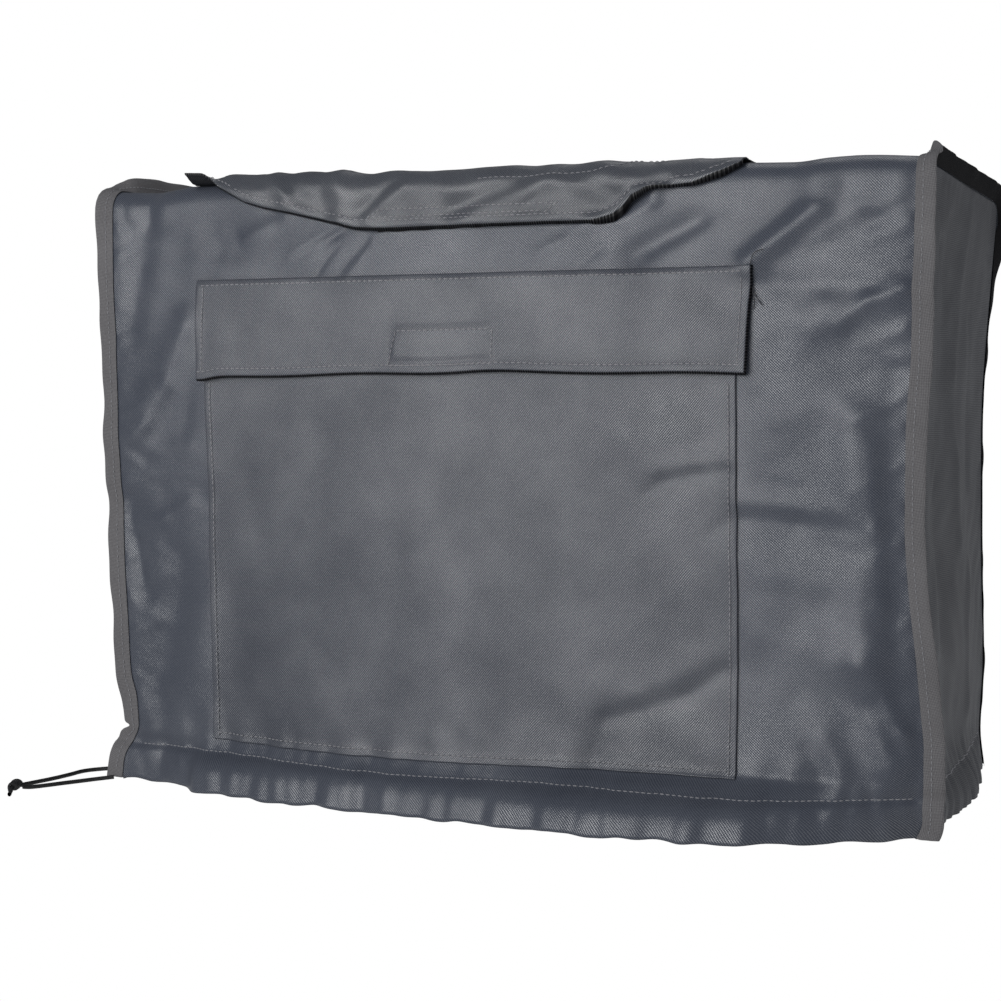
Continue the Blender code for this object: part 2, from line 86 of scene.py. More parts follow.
SEAMS = {
    "z": (0, 14, 30, 40, 60, 80, 118, 160, 205, 260, 315, 370, 440),
    "left": (-291, -290, -284, -279, -281, -286, -288, -291, -293, -295, -297, -299, -299),
    "right": (298, 303, 304, 305, 305, 303, 299, 294, 291, 291, 294, 295, 296),
}
BACK_SEAMS = {
    "z": (0, 30, 80, 160, 260, 370, 440),
    "left": (-284, -281, -283, -287, -289, -291, -292),
    "right": (282, 279, 281, 279, 278, 284, 289),
}
BULGE_X = (-300, -250, -200, -100, 0, 100, 190, 235, 262, 300)
BULGE_Z = (0, 16, 30, 40, 70, 120, 240, 360, 440)
BULGE = (
    (5, 13, 40, 54, 62, 69, 59, 36, 20, -14),
    (4, 12, 36, 50, 57, 63, 52, 33, 20, -6),
    (2, 8, 22, 39, 45, 44, 33, 24, 15, -1),
    (1, 6, 14, 30, 36, 26, 18, 14, 9, 0),
    (0, 5, 12, 26, 31, 23, 15, 12, 8, 0),
    (0, 5, 11, 21, 26, 20, 13, 10, 6, 0),
    (0, 4, 8, 13, 14, 12, 9, 6, 3, 0),
    (0, 2, 4, 6, 6, 6, 4, 3, 1, 0),
    (0, 0, 0, 0, 0, 0, 0, 0, 0, 0),
)
TOP_LINE = {
    "x": (-300, -267, -234, -150, 0, 150, 216, 239, 256, 297),
    "z": (433, 431, 435, 436, 437, 437, 437, 439, 440, 438),
}
# Broad folds, as in the frame.
FRONT_FOLDS = (
    (286, 300, 284, 135, 9, -1.0),
    (260, 270, 266, 120, 15, 6.0),
    (268, 110, 288, 50, 12, 4.5),
    (190, 372, 232, 404, 13, 4.0),
    (110, 375, 150, 397, 13, -3.0),
    (232, 330, 288, 352, 14, 3.5),
    (-238, 333, -281, 255, 14, 3.5),
    (-268, 420, -285, 330, 12, -3.0),
    (-286, 205, -272, 140, 11, -3.5),
    (-236, 150, -262, 70, 18, -4.0),
    (190, 200, 262, 182, 14, -2.5),
)
# Creases on the front: x1, z1, x2, z2, half width, height (out +).
CREASES = (
    # left column, between the bound seam and the pocket
    (-232, 334, -249, 292, 6, 1.1),
    (-249, 292, -268, 263, 7, 1.4),
    (-268, 263, -279, 252, 6, 1.2),
    (-242, 345, -262, 300, 9, -0.9),
    (-289, 412, -284, 400, 5, -1.6),
    (-291, 424, -286, 416, 5, 1.2),
    (-278, 434, -268, 410, 6, -1.7),
    (-268, 436, -258, 416, 6, 1.3),
    (-255, 416, -232, 424, 9, 0.9),
    (-213, 402, -208, 386, 9, -1.8),
    (-196, 400, -190, 388, 9, -1.4),
    (-226, 380, -190, 374, 8, 0.9),
    (-279, 244, -270, 236, 7, -1.2),
    (-266, 242, -229, 247, 7, 1.2),
    (-254, 218, -220, 215, 8, -1.3),
    (-283, 189, -253, 193, 6, 1.0),
    (-253, 193, -230, 206, 6, 1.1),
    (-250, 174, -240, 168, 9, -1.2),
    (-270, 153, -226, 155, 8, 1.1),
    (-287, 196, -275, 150, 4, -1.2),
    (-280, 192, -268, 150, 5, 0.9),
    (-262, 120, -238, 112, 9, 0.7),
    (-270, 88, -244, 66, 9, 0.9),
    (-258, 60, -226, 48, 8, -0.9),
    (-234, 260, -228, 300, 8, -0.8),
    # band between the top edge and the pocket flap
    (-185, 395, -153, 408, 6, 1.5),
    (-166, 415, -160, 405, 7, -1.3),
    (-147, 384, -106, 405, 2.6, 0.9),
    (-143, 381, -104, 401, 3.0, -0.8),
    (-127, 375, -113, 397, 4.0, -1.5),
    (-130, 367, -112, 388, 2.2, -1.1),
    (-133, 369, -115, 390, 3.0, 0.8),
    (-109, 369, -89, 390, 4.2, -1.2),
    (-101, 371, -82, 392, 4.5, 0.9),
    (-60, 385, -20, 391, 14, 0.6),
    (58, 394, 74, 387, 6, -1.3),
    (44, 381, 84, 402, 5, 1.4),
    (68, 370, 86, 383, 4, -1.3),
    (98, 399, 123, 413, 4.5, 1.8),
    (123, 413, 134, 422, 4.5, 1.8),
    (101, 408, 120, 421, 6, -1.8),
    (109, 379, 150, 397, 8, -1.6),
    (124, 375, 168, 398, 6, 1.1),
    (188, 372, 232, 405, 6, 1.8),
    (181, 380, 214, 408, 8, -1.3),
    (205, 372, 245, 398, 7, -1.2),
    (228, 384, 262, 407, 5, 1.2),
    (191, 422, 234, 424, 5, -1.5),
    (234, 424, 274, 429, 5, -1.4),
    (192, 430, 276, 435, 5, 1.0),
    (243, 417, 252, 430, 3, 1.3),
    (250, 415, 259, 428, 3.5, -1.1),
    (262, 408, 291, 420, 6, 1.0),
    (266, 396, 294, 404, 5, -1.0),
    (268, 386, 294, 392, 5, 1.0),
    # right of the flap: dark band, then the bright edge under it
    (190, 357, 268, 354, 8, -1.8),
    (249, 330, 267, 346, 5, 1.6),
    (267, 346, 296, 353, 5, 1.7),
    (236, 320, 262, 334, 9, -1.1),
    (200, 330, 240, 346, 8, 0.8),
    (262, 318, 294, 328, 5, 0.9),
    (266, 300, 292, 304, 6, -0.8),
    # right column
    (190, 25, 265, 28, 45, 5.0),
    (-222, 330, -222, 60, 30, 2.6),
    (270, 250, 274, 200, 6, 1.5),
    (274, 200, 278, 150, 6, 1.6),
    (278, 150, 276, 100, 7, 1.5),
    (281, 92, 293, 70, 4, 1.6),
    (293, 70, 299, 53, 4, 1.5),
    (274, 88, 288, 62, 5, -1.6),
    (258, 206, 258, 142, 10, -1.2),
    (228, 92, 262, 84, 13, -1.6),
    (182, 206, 222, 203, 6, -1.1),
    (222, 203, 264, 199, 6, -1.1),
    (186, 216, 250, 212, 6, 0.8),
    (196, 284, 188, 264, 5, -0.9),
    (200, 230, 222, 224, 6, -0.9),
    (212, 268, 246, 284, 8, 0.9),
    (206, 240, 246, 262, 9, -0.7),
    (244, 66, 262, 34, 6, 1.6),
    (232, 58, 248, 32, 6, -1.2),
    (200, 130, 244, 116, 10, 0.9),
    (196, 160, 240, 152, 9, -0.7),
    (204, 60, 222, 44, 7, 0.9),
    # soft folds that show through the pocket
    (176, 235, 156, 233, 5, -1.2),
    (156, 233, 132, 228, 5, -1.4),
    (132, 228, 120, 219, 4, -1.2),
    (170, 244, 130, 238, 6, 0.8),
    (172, 200, 166, 194, 5, -0.8),
    (176, 106, 152, 89, 6, -1.5),
    (152, 89, 119, 77, 7, -1.7),
    (119, 77, 98, 71, 6, -1.5),
    (98, 71, 88, 42, 6, -1.3),
    (168, 116, 120, 90, 8, 1.1),
    (92, 92, 74, 54, 10, 0.9),
    (34, 48, 40, 40, 6, -0.7),
    (152, 46, 166, 40, 6, -0.8),
    (-194, 150, -188, 66, 15, -1.7),
    (-150, 170, -120, 60, 22, 0.9),
    (-60, 240, 20, 200, 30, 0.7),
    (60, 160, 110, 200, 22, -0.7),
    (-120, 260, -60, 285, 18, -0.6),
)
# Gathers of the hem: x, half width, depth inwards, how far they run up.
HEM_GATHERS = (
    (-272, 7, 2.0, 40), (-256, 8, 2.6, 36), (-241, 7, 1.8, 40), (-226, 9, 3.0, 34),
    (-208, 7, 2.0, 38), (-190, 8, 3.2, 46), (-173, 6, 2.0, 38), (-161, 7, 2.8, 44),
    (-147, 7, 2.0, 36), (-134, 6, 2.6, 46), (-122, 6, 2.0, 38), (-106, 8, 3.0, 42),
    (-90, 7, 1.8, 36), (-72, 8, 3.0, 44), (-58, 6, 1.8, 36), (-44, 7, 2.6, 42),
    (-22, 9, 3.0, 40), (-6, 7, 1.8, 36), (8, 8, 2.8, 42), (26, 7, 1.8, 36),
    (42, 8, 2.4, 38), (60, 8, 3.0, 42), (76, 6, 1.8, 34), (90, 7, 2.6, 40),
    (106, 6, 2.0, 36), (122, 8, 2.6, 38), (141, 8, 2.0, 36), (158, 7, 2.4, 38),
    (178, 9, 3.2, 42), (196, 6, 1.8, 36), (212, 7, 2.6, 40), (228, 7, 2.4, 40),
    (243, 6, 2.6, 40), (259, 6, 2.8, 40), (274, 6, 2.4, 38), (288, 5, 2.2, 36),
)
GATHERS = {
    "x": (-263, -227, -186, -146, -108, -66, -22, 20, 62, 104, 148, 190, 224, 252, 280),
    "half": (15, 16, 16, 15, 17, 18, 18, 17, 18, 18, 18, 17, 14, 12, 12),
    "deep": (4, 3.5, 4.5, 4, 4.5, 3.5, 4, 4.5, 3.5, 4, 4.5, 4, 5, 4, 4),
}
# Puckers where the cloth is eased into the front seams: height, pull.
RIGHT_PUCKERS = (435, 418, 396, 377, 352, 330, 306, 286, 264, 242, 214, 192, 168, 141, 118, 92, 66)
LEFT_PUCKERS = (428, 407, 382, 351, 322, 292, 268, 243, 216, 190, 163, 136, 108, 80, 61, 42)


# ------------------------------------------------------------ small helpers
def ease(a, b, x):
    t = np.clip((np.asarray(x, float) - a) / (b - a), 0, 1)
    return t * t * (3 - 2 * t)


def smooth(xs, ys, x):
    """Cubic through a short table; ys may hold one column for each place."""
    xs, ys, x = np.asarray(xs, float), np.asarray(ys, float), np.asarray(x, float)
    x = np.clip(x, xs[0], xs[-1])
    h = np.diff(xs)
    if ys.ndim == 1:
        d = np.diff(ys) / h
    else:
        d = np.diff(ys, axis=0) / h[:, None]
    a, b = d[:-1], d[1:]
    with np.errstate(divide="ignore", invalid="ignore"):
        mid = np.where(a * b > 0, 2 * a * b / (a + b), 0.0)
    m = np.concatenate([d[:1], mid, d[-1:]])
    i = np.clip(np.searchsorted(xs, x) - 1, 0, len(xs) - 2)
    t = (x - xs[i]) / h[i]
    if ys.ndim == 1:
        y0, y1, m0, m1 = ys[i], ys[i + 1], m[i] * h[i], m[i + 1] * h[i]
    else:
        k = np.arange(len(x))
        y0, y1, m0, m1 = ys[i, k], ys[i + 1, k], m[i, k] * h[i], m[i + 1, k] * h[i]
    t2, t3 = t * t, t * t * t
    return (
        (2 * t3 - 3 * t2 + 1) * y0
        + (t3 - 2 * t2 + t) * m0
        + (3 * t2 - 2 * t3) * y1
        + (t3 - t2) * m1
    )


def folds(table, x, z, sharp=2.0):
    total = np.zeros_like(x)
    for x1, z1, x2, z2, half, high in table:
        dx, dz = x2 - x1, z2 - z1
        t = np.clip(((x - x1) * dx + (z - z1) * dz) / (dx * dx + dz * dz), 0, 1)
        gone = np.hypot(x - (x1 + t * dx), z - (z1 + t * dz)) / half
        total += high * np.exp(-(gone**sharp))
    return total


def waves(x, z, seed, sizes, amp):
    """Soft uneven cloth: warped sines of a few sizes, the same each run."""
    r = np.random.default_rng(seed)
    total = np.zeros_like(x)
    wx = x + 14 * np.sin(z / 47.0 + seed) + 9 * np.sin(z / 23.0 + x / 61.0)
    wz = z + 12 * np.sin(x / 53.0 - seed) + 8 * np.sin(x / 29.0 - z / 71.0)
    for size in sizes:
        for _ in range(4):
            a = r.uniform(0, 2 * np.pi)
            p = r.uniform(0, 2 * np.pi)
            s = size * r.uniform(0.8, 1.25)
            total += np.sin((wx * np.cos(a) + wz * np.sin(a)) * 2 * np.pi / s + p) * (
                size / sizes[0]
            )
    return total * amp / (2.0 * len(sizes))


def left_x(z, table=SEAMS):
    return smooth(table["z"], table["left"], z)


def right_x(z, table=SEAMS):
    return smooth(table["z"], table["right"], z)


def bulge(x, z):
    rows = np.stack([smooth(BULGE_X, row, x) for row in BULGE])
    return smooth(BULGE_Z, rows, z)


def front_base(x, z):
    """Outward height of the front over its seam plane: the frame's own shape."""
    out = bulge(x, z) + folds(FRONT_FOLDS, x, z)
    g = GATHERS
    gathered = sum(
        d * np.exp(-(((x - c) / (0.55 * h)) ** 2))
        for c, h, d in zip(g["x"], g["half"], g["deep"])
    )
    out = out - 0.35 * gathered * (1 - ease(22, 38, z)) * (
        0.55 + 0.45 * (1 - np.minimum(z, 30) / 30.0)
    )
    hem_in = 2.5 * np.exp(-(((z - HEM_DEEP - 3) / 5.0) ** 2)) * (1 - ease(34, 44, z))
    return out - hem_in


def puckers(x, z):
    """Short ridges that run into the side seams."""
    total = np.zeros_like(x)
    for table, seam, hand in ((RIGHT_PUCKERS, right_x, 1), (LEFT_PUCKERS, left_x, -1)):
        away = np.abs(seam(z) - x)
        for k, zc in enumerate(table):
            lean = (0.55 if k % 2 else -0.35) * away
            width = 3.6 + (k % 3) * 1.2
            reach = 15 + (k * 7 % 5) * 5
            total += (
                (0.9 + 0.35 * (k % 3))
                * np.exp(-(((z - zc + lean) / width) ** 2))
                * np.exp(-away / reach)
                * ease(0, 4, away)
            )
        total -= 0.7 * np.exp(-((away / 5.0) ** 2))
    return total


def front_fine(x, z):
    """Creases, puckers, gathers and the soft unevenness of the front."""
    out = 0.85 * folds(CREASES, x, z, 1.8)
    for gx, half, deep, reach in HEM_GATHERS:
        lean = gx + 0.12 * (z - 20) * np.sin(gx)
        up = 1 - ease(reach * 0.55, reach * 1.35, z)
        out = out - deep * np.exp(-((np.abs(x - lean) / half) ** 1.7)) * up
    low = 1 - ease(30, 70, z)
    out = out + 0.9 * low * np.sin(x / 5.7 + 2.2 * np.sin(x / 37.0))
    inner = ease(0, 14, x - left_x(z)) * ease(0, 14, right_x(z) - x)
    out = out + waves(x, z, 3, (92, 58, 34), 0.75) * inner
    out = out + waves(x, z, 11, (26, 17), 0.14) * inner
    # stitched line of the hem, with its small ripple
    line = 27.0 + 1.0 * np.sin(x / 41.0)
    out = out - 1.0 * np.exp(-(((z - line) / 2.2) ** 2))
    out = out + 0.35 * np.exp(-(((z - line) / 7.0) ** 2)) * np.sin(x / 1.9)
    return out + puckers(x, z)


def front_y(x, z):
    x, z = np.asarray(x, float), np.asarray(z, float)
    x, z = np.broadcast_arrays(x, z)
    shape = x.shape
    x, z = x.ravel(), z.ravel()
    zc = np.clip(z, 0, FRONT_TOP + 8)
    out = front_base(x, zc) + front_fine(x, zc)
    return (FRONT_Y - out).reshape(shape)


def top_z(x, y):
    u = np.clip((x + 298) / 596, 0, 1)
    v = np.clip((y - FRONT_Y) / (BACK_Y - FRONT_Y), 0, 1)
    span = np.sin(np.pi * u) ** 0.7 * ease(0.08, 0.45, v) * ease(0.08, 0.45, 1 - v)
    ripple = 1.6 * np.sin(u * 9.0 + v * 2.2) * np.sin(np.pi * v)
    level = smooth(TOP_LINE["x"], TOP_LINE["z"], x) * (1 - v) + (434 + 2 * np.sin(u * 5) - 6 * ease(0.75, 1.0, u)) * v
    return level - 8.0 * span + ripple * span


def back_y(x, z):
    u = np.clip((x + 290) / 575, 0, 1)
    span = np.sin(np.pi * u) ** 1.1
    high = np.clip(z / 436, 0, 1)
    out = 9 * span * (1 - high) * high * 2.2 + 3 * span * np.sin(u * 11 + 0.6)
    out = out + 26 * span * (1 - ease(0, 46, z))
    out = out + 1.2 * span * (1 - ease(0, 30, z)) * np.sin(u * 58)
    return BACK_Y + out * (1 - ease(400, 436, z))


# ---------------------------------------------------------------- mesh makers
def link(name, data):
    ob = bpy.data.objects.new(name, data)
    bpy.context.scene.collection.objects.link(ob)
    return ob


def faces_mesh(name, verts, quads, uv=None, smooth_shade=True, shade_mask=None):
    """A mesh from arrays: verts (n, 3) in mm, quads (m, 4), uv (n, 2) in metres."""
    me = bpy.data.meshes.new(name)
    quads = np.asarray(quads, np.int32)
    me.vertices.add(len(verts))
    me.vertices.foreach_set("co", (np.asarray(verts) * M).astype(np.float32).ravel())
    me.loops.add(quads.size)
    me.loops.foreach_set("vertex_index", quads.ravel())
    me.polygons.add(len(quads))
    me.polygons.foreach_set("loop_start", np.arange(0, quads.size, 4, dtype=np.int32))
    if smooth_shade:
        me.polygons.foreach_set("use_smooth", np.ones(len(quads), bool))
    me.update(calc_edges=True)
    if uv is not None:
        layer = me.uv_layers.new(name="weave")
        layer.uv.foreach_set("vector", uv[quads.ravel()].astype(np.float32).ravel())
    if shade_mask is not None:
        a = me.attributes.new("shade_mask", "FLOAT", "POINT")
        a.data.foreach_set("value", shade_mask.astype(np.float32))
    me.validate()
    return link(name, me)


def grid_quads(rows, cols, start=0, flip=False):
    i, j = np.meshgrid(np.arange(rows - 1), np.arange(cols - 1), indexing="ij")
    a = start + i * cols + j
    q = np.stack([a, a + 1, a + cols + 1, a + cols], -1).reshape(-1, 4)
    return q[:, ::-1] if flip else q


def shell(name, outer, inner, uv, shade_mask=None, flip=False):
    """A sheet with thickness: two grids joined round their edge; the inner face and rim are painted near-black as
    shade.
    """
    rows, cols = outer.shape[:2]
    n = rows * cols
    ring = np.concatenate(
        [
            np.arange(cols),
            np.arange(1, rows) * cols + cols - 1,
            (rows - 1) * cols + np.arange(cols - 2, -1, -1),
            np.arange(rows - 2, 0, -1) * cols,
        ]
    )
    po, pi, pu = outer.reshape(-1, 3), inner.reshape(-1, 3), uv.reshape(-1, 2)
    verts = np.concatenate([po, pi, po[ring] * 0.88 + pi[ring] * 0.12])
    quads = [grid_quads(rows, cols, 0, flip), grid_quads(rows, cols, n, not flip)]
    m = 2 * n + np.arange(len(ring))
    a, b, ma, mb = ring, np.roll(ring, -1), m, np.roll(m, -1)
    for rim in (np.stack([a, ma, mb, b], -1), np.stack([ma, a + n, b + n, mb], -1)):
        quads.append(rim[:, ::-1] if flip else rim)
    outside = np.zeros(n) if shade_mask is None else shade_mask.ravel()
    mk = np.concatenate([outside, np.full(n, 1.0), np.full(len(ring), 1.0)])
    uv2 = np.concatenate([pu, pu, pu[ring]])
    return faces_mesh(name, verts, np.concatenate(quads), uv2, shade_mask=mk)


def normals_of(p):
    du = np.gradient(p, axis=1)
    dv = np.gradient(p, axis=0)
    n = np.cross(du, dv)
    return n / np.maximum(np.linalg.norm(n, axis=-1, keepdims=True), 1e-9)


def spaced(marks, step):
    """Values between marks, no further apart than step."""
    out = [marks[0]]
    for a, b in zip(marks, marks[1:]):
        k = max(1, int(np.ceil(abs(b - a) / step)))
        out += list(a + (b - a) * np.arange(1, k + 1) / k)
    return np.array(out)


# ------------------------------------------------------------------ materials
def nodes_of(name):
    m = bpy.data.materials.new(name)
    m.use_nodes = True
    nt = m.node_tree
    p = nt.nodes["Principled BSDF"]
    return m, nt, p


def add(nt, kind, **sets):
    n = nt.nodes.new(kind)
    for k, v in sets.items():
        setattr(n, k, v)
    return n


def math(nt, op, a, b=None, clamp=False):
    n = add(nt, "ShaderNodeMath", operation=op, use_clamp=clamp)
    for k, v in enumerate((a, b)):
        if v is None:
            continue
        if isinstance(v, (int, float)):
            n.inputs[k].default_value = v
        else:
            nt.links.new(v, n.inputs[k])
    return n.outputs[0]


def mix(nt, fac, a, b):
    n = add(nt, "ShaderNodeMix", data_type="RGBA")
    for sock, v in ((n.inputs[0], fac), (n.inputs[6], a), (n.inputs[7], b)):
        if isinstance(v, (int, float)):
            sock.default_value = v
        elif isinstance(v, tuple):
            sock.default_value = (*v, 1)
        else:
            nt.links.new(v, sock)
    return n.outputs[2]


def cloth(name, light, dark, painted_shade, pitch=1.7, turn=45.0, rough=0.38, bump=0.3,
          grain=1.0, spec=0.5, depth=0.0004, cross=0.3, crumple=0.10):
    """Coated woven cloth: crossing threads at a pitch in mm, on the weave map."""
    m, nt, p = nodes_of(name)
    uv = add(nt, "ShaderNodeUVMap", uv_map="weave").outputs[0]
    sep = add(nt, "ShaderNodeSeparateXYZ")
    nt.links.new(uv, sep.inputs[0])
    u, v = sep.outputs[0], sep.outputs[1]
    # threads wander a little, so the weave isn't ruled
    n1 = add(nt, "ShaderNodeTexNoise", noise_dimensions="2D")
    n1.inputs["Scale"].default_value = 55.0
    n1.inputs["Detail"].default_value = 2.0
    nt.links.new(uv, n1.inputs["Vector"])
    wander = math(nt, "MULTIPLY", math(nt, "SUBTRACT", n1.outputs[0], 0.5), 0.0011)
    k = 2 * np.pi / (pitch * M)
    ca, sa = np.cos(np.radians(turn)), np.sin(np.radians(turn))
    uu = math(nt, "ADD", math(nt, "MULTIPLY", u, float(ca)), math(nt, "MULTIPLY", v, float(sa)))
    vv = math(nt, "SUBTRACT", math(nt, "MULTIPLY", v, float(ca)), math(nt, "MULTIPLY", u, float(sa)))
    uu = math(nt, "ADD", uu, wander)
    vv = math(nt, "SUBTRACT", vv, wander)
    s1 = math(nt, "SINE", math(nt, "MULTIPLY", uu, float(k)))
    s2 = math(nt, "SINE", math(nt, "MULTIPLY", vv, float(k * grain)))
    knots = math(nt, "MULTIPLY", math(nt, "ADD", math(nt, "MULTIPLY", s1, 1.0 - cross), math(nt, "MULTIPLY", s2, cross)), 0.5)
    height = math(nt, "ADD", knots, 0.5, clamp=True)
    # patchy coating: where it is thin the threads show lighter
    n2 = add(nt, "ShaderNodeTexNoise", noise_dimensions="2D")
    n2.inputs["Scale"].default_value = 16.0
    n2.inputs["Detail"].default_value = 5.0
    n2.inputs["Roughness"].default_value = 0.6
    nt.links.new(uv, n2.inputs["Vector"])
    n3 = add(nt, "ShaderNodeTexNoise", noise_dimensions="2D")
    n3.inputs["Scale"].default_value = 900.0
    n3.inputs["Detail"].default_value = 2.0
    nt.links.new(uv, n3.inputs["Vector"])
    patch = math(nt, "MULTIPLY", math(nt, "SUBTRACT", n2.outputs[0], 0.5), 0.5)
    fleck = math(nt, "MULTIPLY", math(nt, "SUBTRACT", n3.outputs[0], 0.5), 0.55)
    fac = math(nt, "ADD", math(nt, "ADD", height, patch), fleck, clamp=True)
    base = mix(nt, fac, dark, light)
    # the per-point attribute mixes the colour towards a near-black: painted shade on insides, rims, undersides and the
    # tape's far face
    shade_mask = add(nt, "ShaderNodeAttribute", attribute_name="shade_mask")
    nt.links.new(mix(nt, shade_mask.outputs["Fac"], base, painted_shade), p.inputs["Base Color"])
    r = math(nt, "ADD", math(nt, "MULTIPLY", n2.outputs[0], 0.10), rough - 0.05)
    r = math(nt, "ADD", r, math(nt, "MULTIPLY", height, -0.04), clamp=True)
    nt.links.new(r, p.inputs["Roughness"])
    shine = math(nt, "ADD", math(nt, "MULTIPLY", math(nt, "POWER", fac, 2.6), spec * 2.1), spec * 0.06)
    nt.links.new(shine, p.inputs["Specular IOR Level"])
    b = add(nt, "ShaderNodeBump")
    b.inputs["Strength"].default_value = bump
    b.inputs["Distance"].default_value = depth
    nt.links.new(math(nt, "ADD", height, math(nt, "MULTIPLY", fleck, 0.8)), b.inputs["Height"])
    # fine crumple of the coating under the weave
    n4 = add(nt, "ShaderNodeTexNoise", noise_dimensions="2D")
    n4.inputs["Scale"].default_value = 70.0
    n4.inputs["Detail"].default_value = 3.0
    n4.inputs["Distortion"].default_value = 0.6
    nt.links.new(uv, n4.inputs["Vector"])
    b2 = add(nt, "ShaderNodeBump")
    b2.inputs["Strength"].default_value = crumple
    b2.inputs["Distance"].default_value = 0.0014
    nt.links.new(n4.outputs[0], b2.inputs["Height"])
    nt.links.new(b2.outputs[0], b.inputs["Normal"])
    nt.links.new(b.outputs[0], p.inputs["Normal"])
    return m


# near-black of insides, rims and undersides: painted shade
PAINTED_SHADE = (0.010, 0.010, 0.011)
MAT_CLOTH = cloth("coated_cloth", (0.084, 0.093, 0.116), (0.046, 0.053, 0.071), PAINTED_SHADE,
                  pitch=1.25, turn=48, cross=0.35, rough=0.36, spec=0.60)
MAT_POCKET = cloth("pocket_cloth", (0.092, 0.099, 0.118), (0.046, 0.051, 0.065), PAINTED_SHADE,
                   pitch=1.25, turn=-40, cross=0.25, rough=0.40, spec=0.60)
MAT_FLAP = cloth("flap_cloth", (0.095, 0.101, 0.116), (0.048, 0.053, 0.064), PAINTED_SHADE,
                 pitch=1.25, turn=42, cross=0.35, rough=0.36, spec=0.66)
MAT_SIDE = cloth("side_cloth", (0.082, 0.085, 0.093), (0.044, 0.046, 0.052), PAINTED_SHADE,
                 pitch=1.3, turn=0, cross=0.5, rough=0.50, bump=0.2, spec=0.35)
MAT_TAPE = cloth("binding_tape", (0.215, 0.210, 0.216), (0.080, 0.078, 0.082), PAINTED_SHADE,
                 pitch=1.0, turn=8, cross=0.5, rough=0.85, bump=0.5, spec=0.10)
for m in (MAT_CLOTH, MAT_POCKET, MAT_FLAP):
    m.node_tree.nodes["Principled BSDF"].inputs["IOR"].default_value = 1.65


def fuzzy(name, light, dark, scale, depth):
    m, nt, p = nodes_of(name)
    co = add(nt, "ShaderNodeTexCoord").outputs["Object"]
    n = add(nt, "ShaderNodeTexNoise")
    n.inputs["Scale"].default_value = scale
    n.inputs["Detail"].default_value = 4.0
    nt.links.new(co, n.inputs["Vector"])
    v = add(nt, "ShaderNodeTexVoronoi")
    v.inputs["Scale"].default_value = scale * 0.8
    nt.links.new(co, v.inputs["Vector"])
    h = math(nt, "ADD", n.outputs[0], math(nt, "MULTIPLY", v.outputs[0], 0.6))
    nt.links.new(mix(nt, math(nt, "MULTIPLY", h, 0.8, clamp=True), dark, light), p.inputs["Base Color"])
    p.inputs["Roughness"].default_value = 0.9
    p.inputs["Specular IOR Level"].default_value = 0.2
    b = add(nt, "ShaderNodeBump")
    b.inputs["Strength"].default_value = 0.9
    b.inputs["Distance"].default_value = depth
    nt.links.new(h, b.inputs["Height"])
    nt.links.new(b.outputs[0], p.inputs["Normal"])
    return m


MAT_LOOP = fuzzy("hook_and_loop", (0.030, 0.030, 0.031), (0.004, 0.004, 0.004), 900, 0.001)
MAT_THREAD = fuzzy("thread", (0.33, 0.33, 0.35), (0.20, 0.20, 0.215), 2500, 0.0002)
MAT_TAIL = fuzzy("thread_dark", (0.07, 0.072, 0.078), (0.03, 0.03, 0.035), 2500, 0.0002)


def braid(name):
    """Black braided cord: crossing bobbins as bump, on the cord's own length."""
    m, nt, p = nodes_of(name)
    co = add(nt, "ShaderNodeTexCoord").outputs["Object"]
    w = add(nt, "ShaderNodeTexNoise")
    w.inputs["Scale"].default_value = 1400.0
    w.inputs["Detail"].default_value = 2.0
    nt.links.new(co, w.inputs["Vector"])
    v = add(nt, "ShaderNodeTexVoronoi", feature="F1")
    v.inputs["Scale"].default_value = 900.0
    nt.links.new(co, v.inputs["Vector"])
    h = math(nt, "ADD", math(nt, "MULTIPLY", w.outputs[0], 0.4), math(nt, "SUBTRACT", 1.0, v.outputs[0]))
    nt.links.new(mix(nt, math(nt, "MULTIPLY", h, 0.6, clamp=True), (0.003, 0.003, 0.003), (0.020, 0.020, 0.021)), p.inputs["Base Color"])
    p.inputs["Roughness"].default_value = 0.62
    b = add(nt, "ShaderNodeBump")
    b.inputs["Strength"].default_value = 0.8
    b.inputs["Distance"].default_value = 0.0005
    nt.links.new(h, b.inputs["Height"])
    nt.links.new(b.outputs[0], p.inputs["Normal"])
    return m


MAT_CORD = braid("drawcord")


def finish_piece(ob, mat, node=None):
    ob.data.materials.append(mat)
    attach(ob, BODY)
    if node:
        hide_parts(*(node if isinstance(node, (list, tuple)) else (node,)))
    return ob


# ------------------------------------------------------------------ wrap panel
def wrap_rows():
    """Stations round the loop: kind, value, and length along the cloth."""
    rows = []
    z_marks = spaced((0.0, 24.0, 30.0, 60.0, FRONT_TOP), 2.7)
    z_marks = np.unique(np.concatenate([z_marks, spaced((22.0, 32.0), 1.1)]))
    for z in z_marks:
        rows.append(("front", z, z))
    s0 = FRONT_TOP
    for t in np.linspace(0, 1, 11)[1:-1]:
        rows.append(("front_edge", t, s0 + 8 + ARC * t))
    s1 = s0 + 16 + ARC
    for y in spaced((-98.0, 145.0), 5.0):
        rows.append(("top", y, s1 + y + 98))
    s2 = s1 + 243
    for t in np.linspace(0, 1, 9)[1:-1]:
        rows.append(("back_edge", t, s2 + ARC * t))
    s3 = s2 + ARC
    zb = spaced((0.0, 24.0, 30.0, 60.0, BACK_TOP), 6.0)[::-1]
    for z in zb:
        rows.append(("back", z, s3 + BACK_TOP - z))
    return rows


def side_x(kind, value, hand):
    pick = left_x if hand < 0 else right_x
    if kind == "front":
        return float(pick(value))
    if kind == "front_edge":
        return float(pick(432))
    if kind == "back":
        return float(pick(value, BACK_SEAMS))
    if kind == "back_edge":
        return float(pick(432, BACK_SEAMS))
    t = (value - FRONT_Y) / (BACK_Y - FRONT_Y)
    return float(pick(440) * (1 - t) + pick(440, BACK_SEAMS) * t)


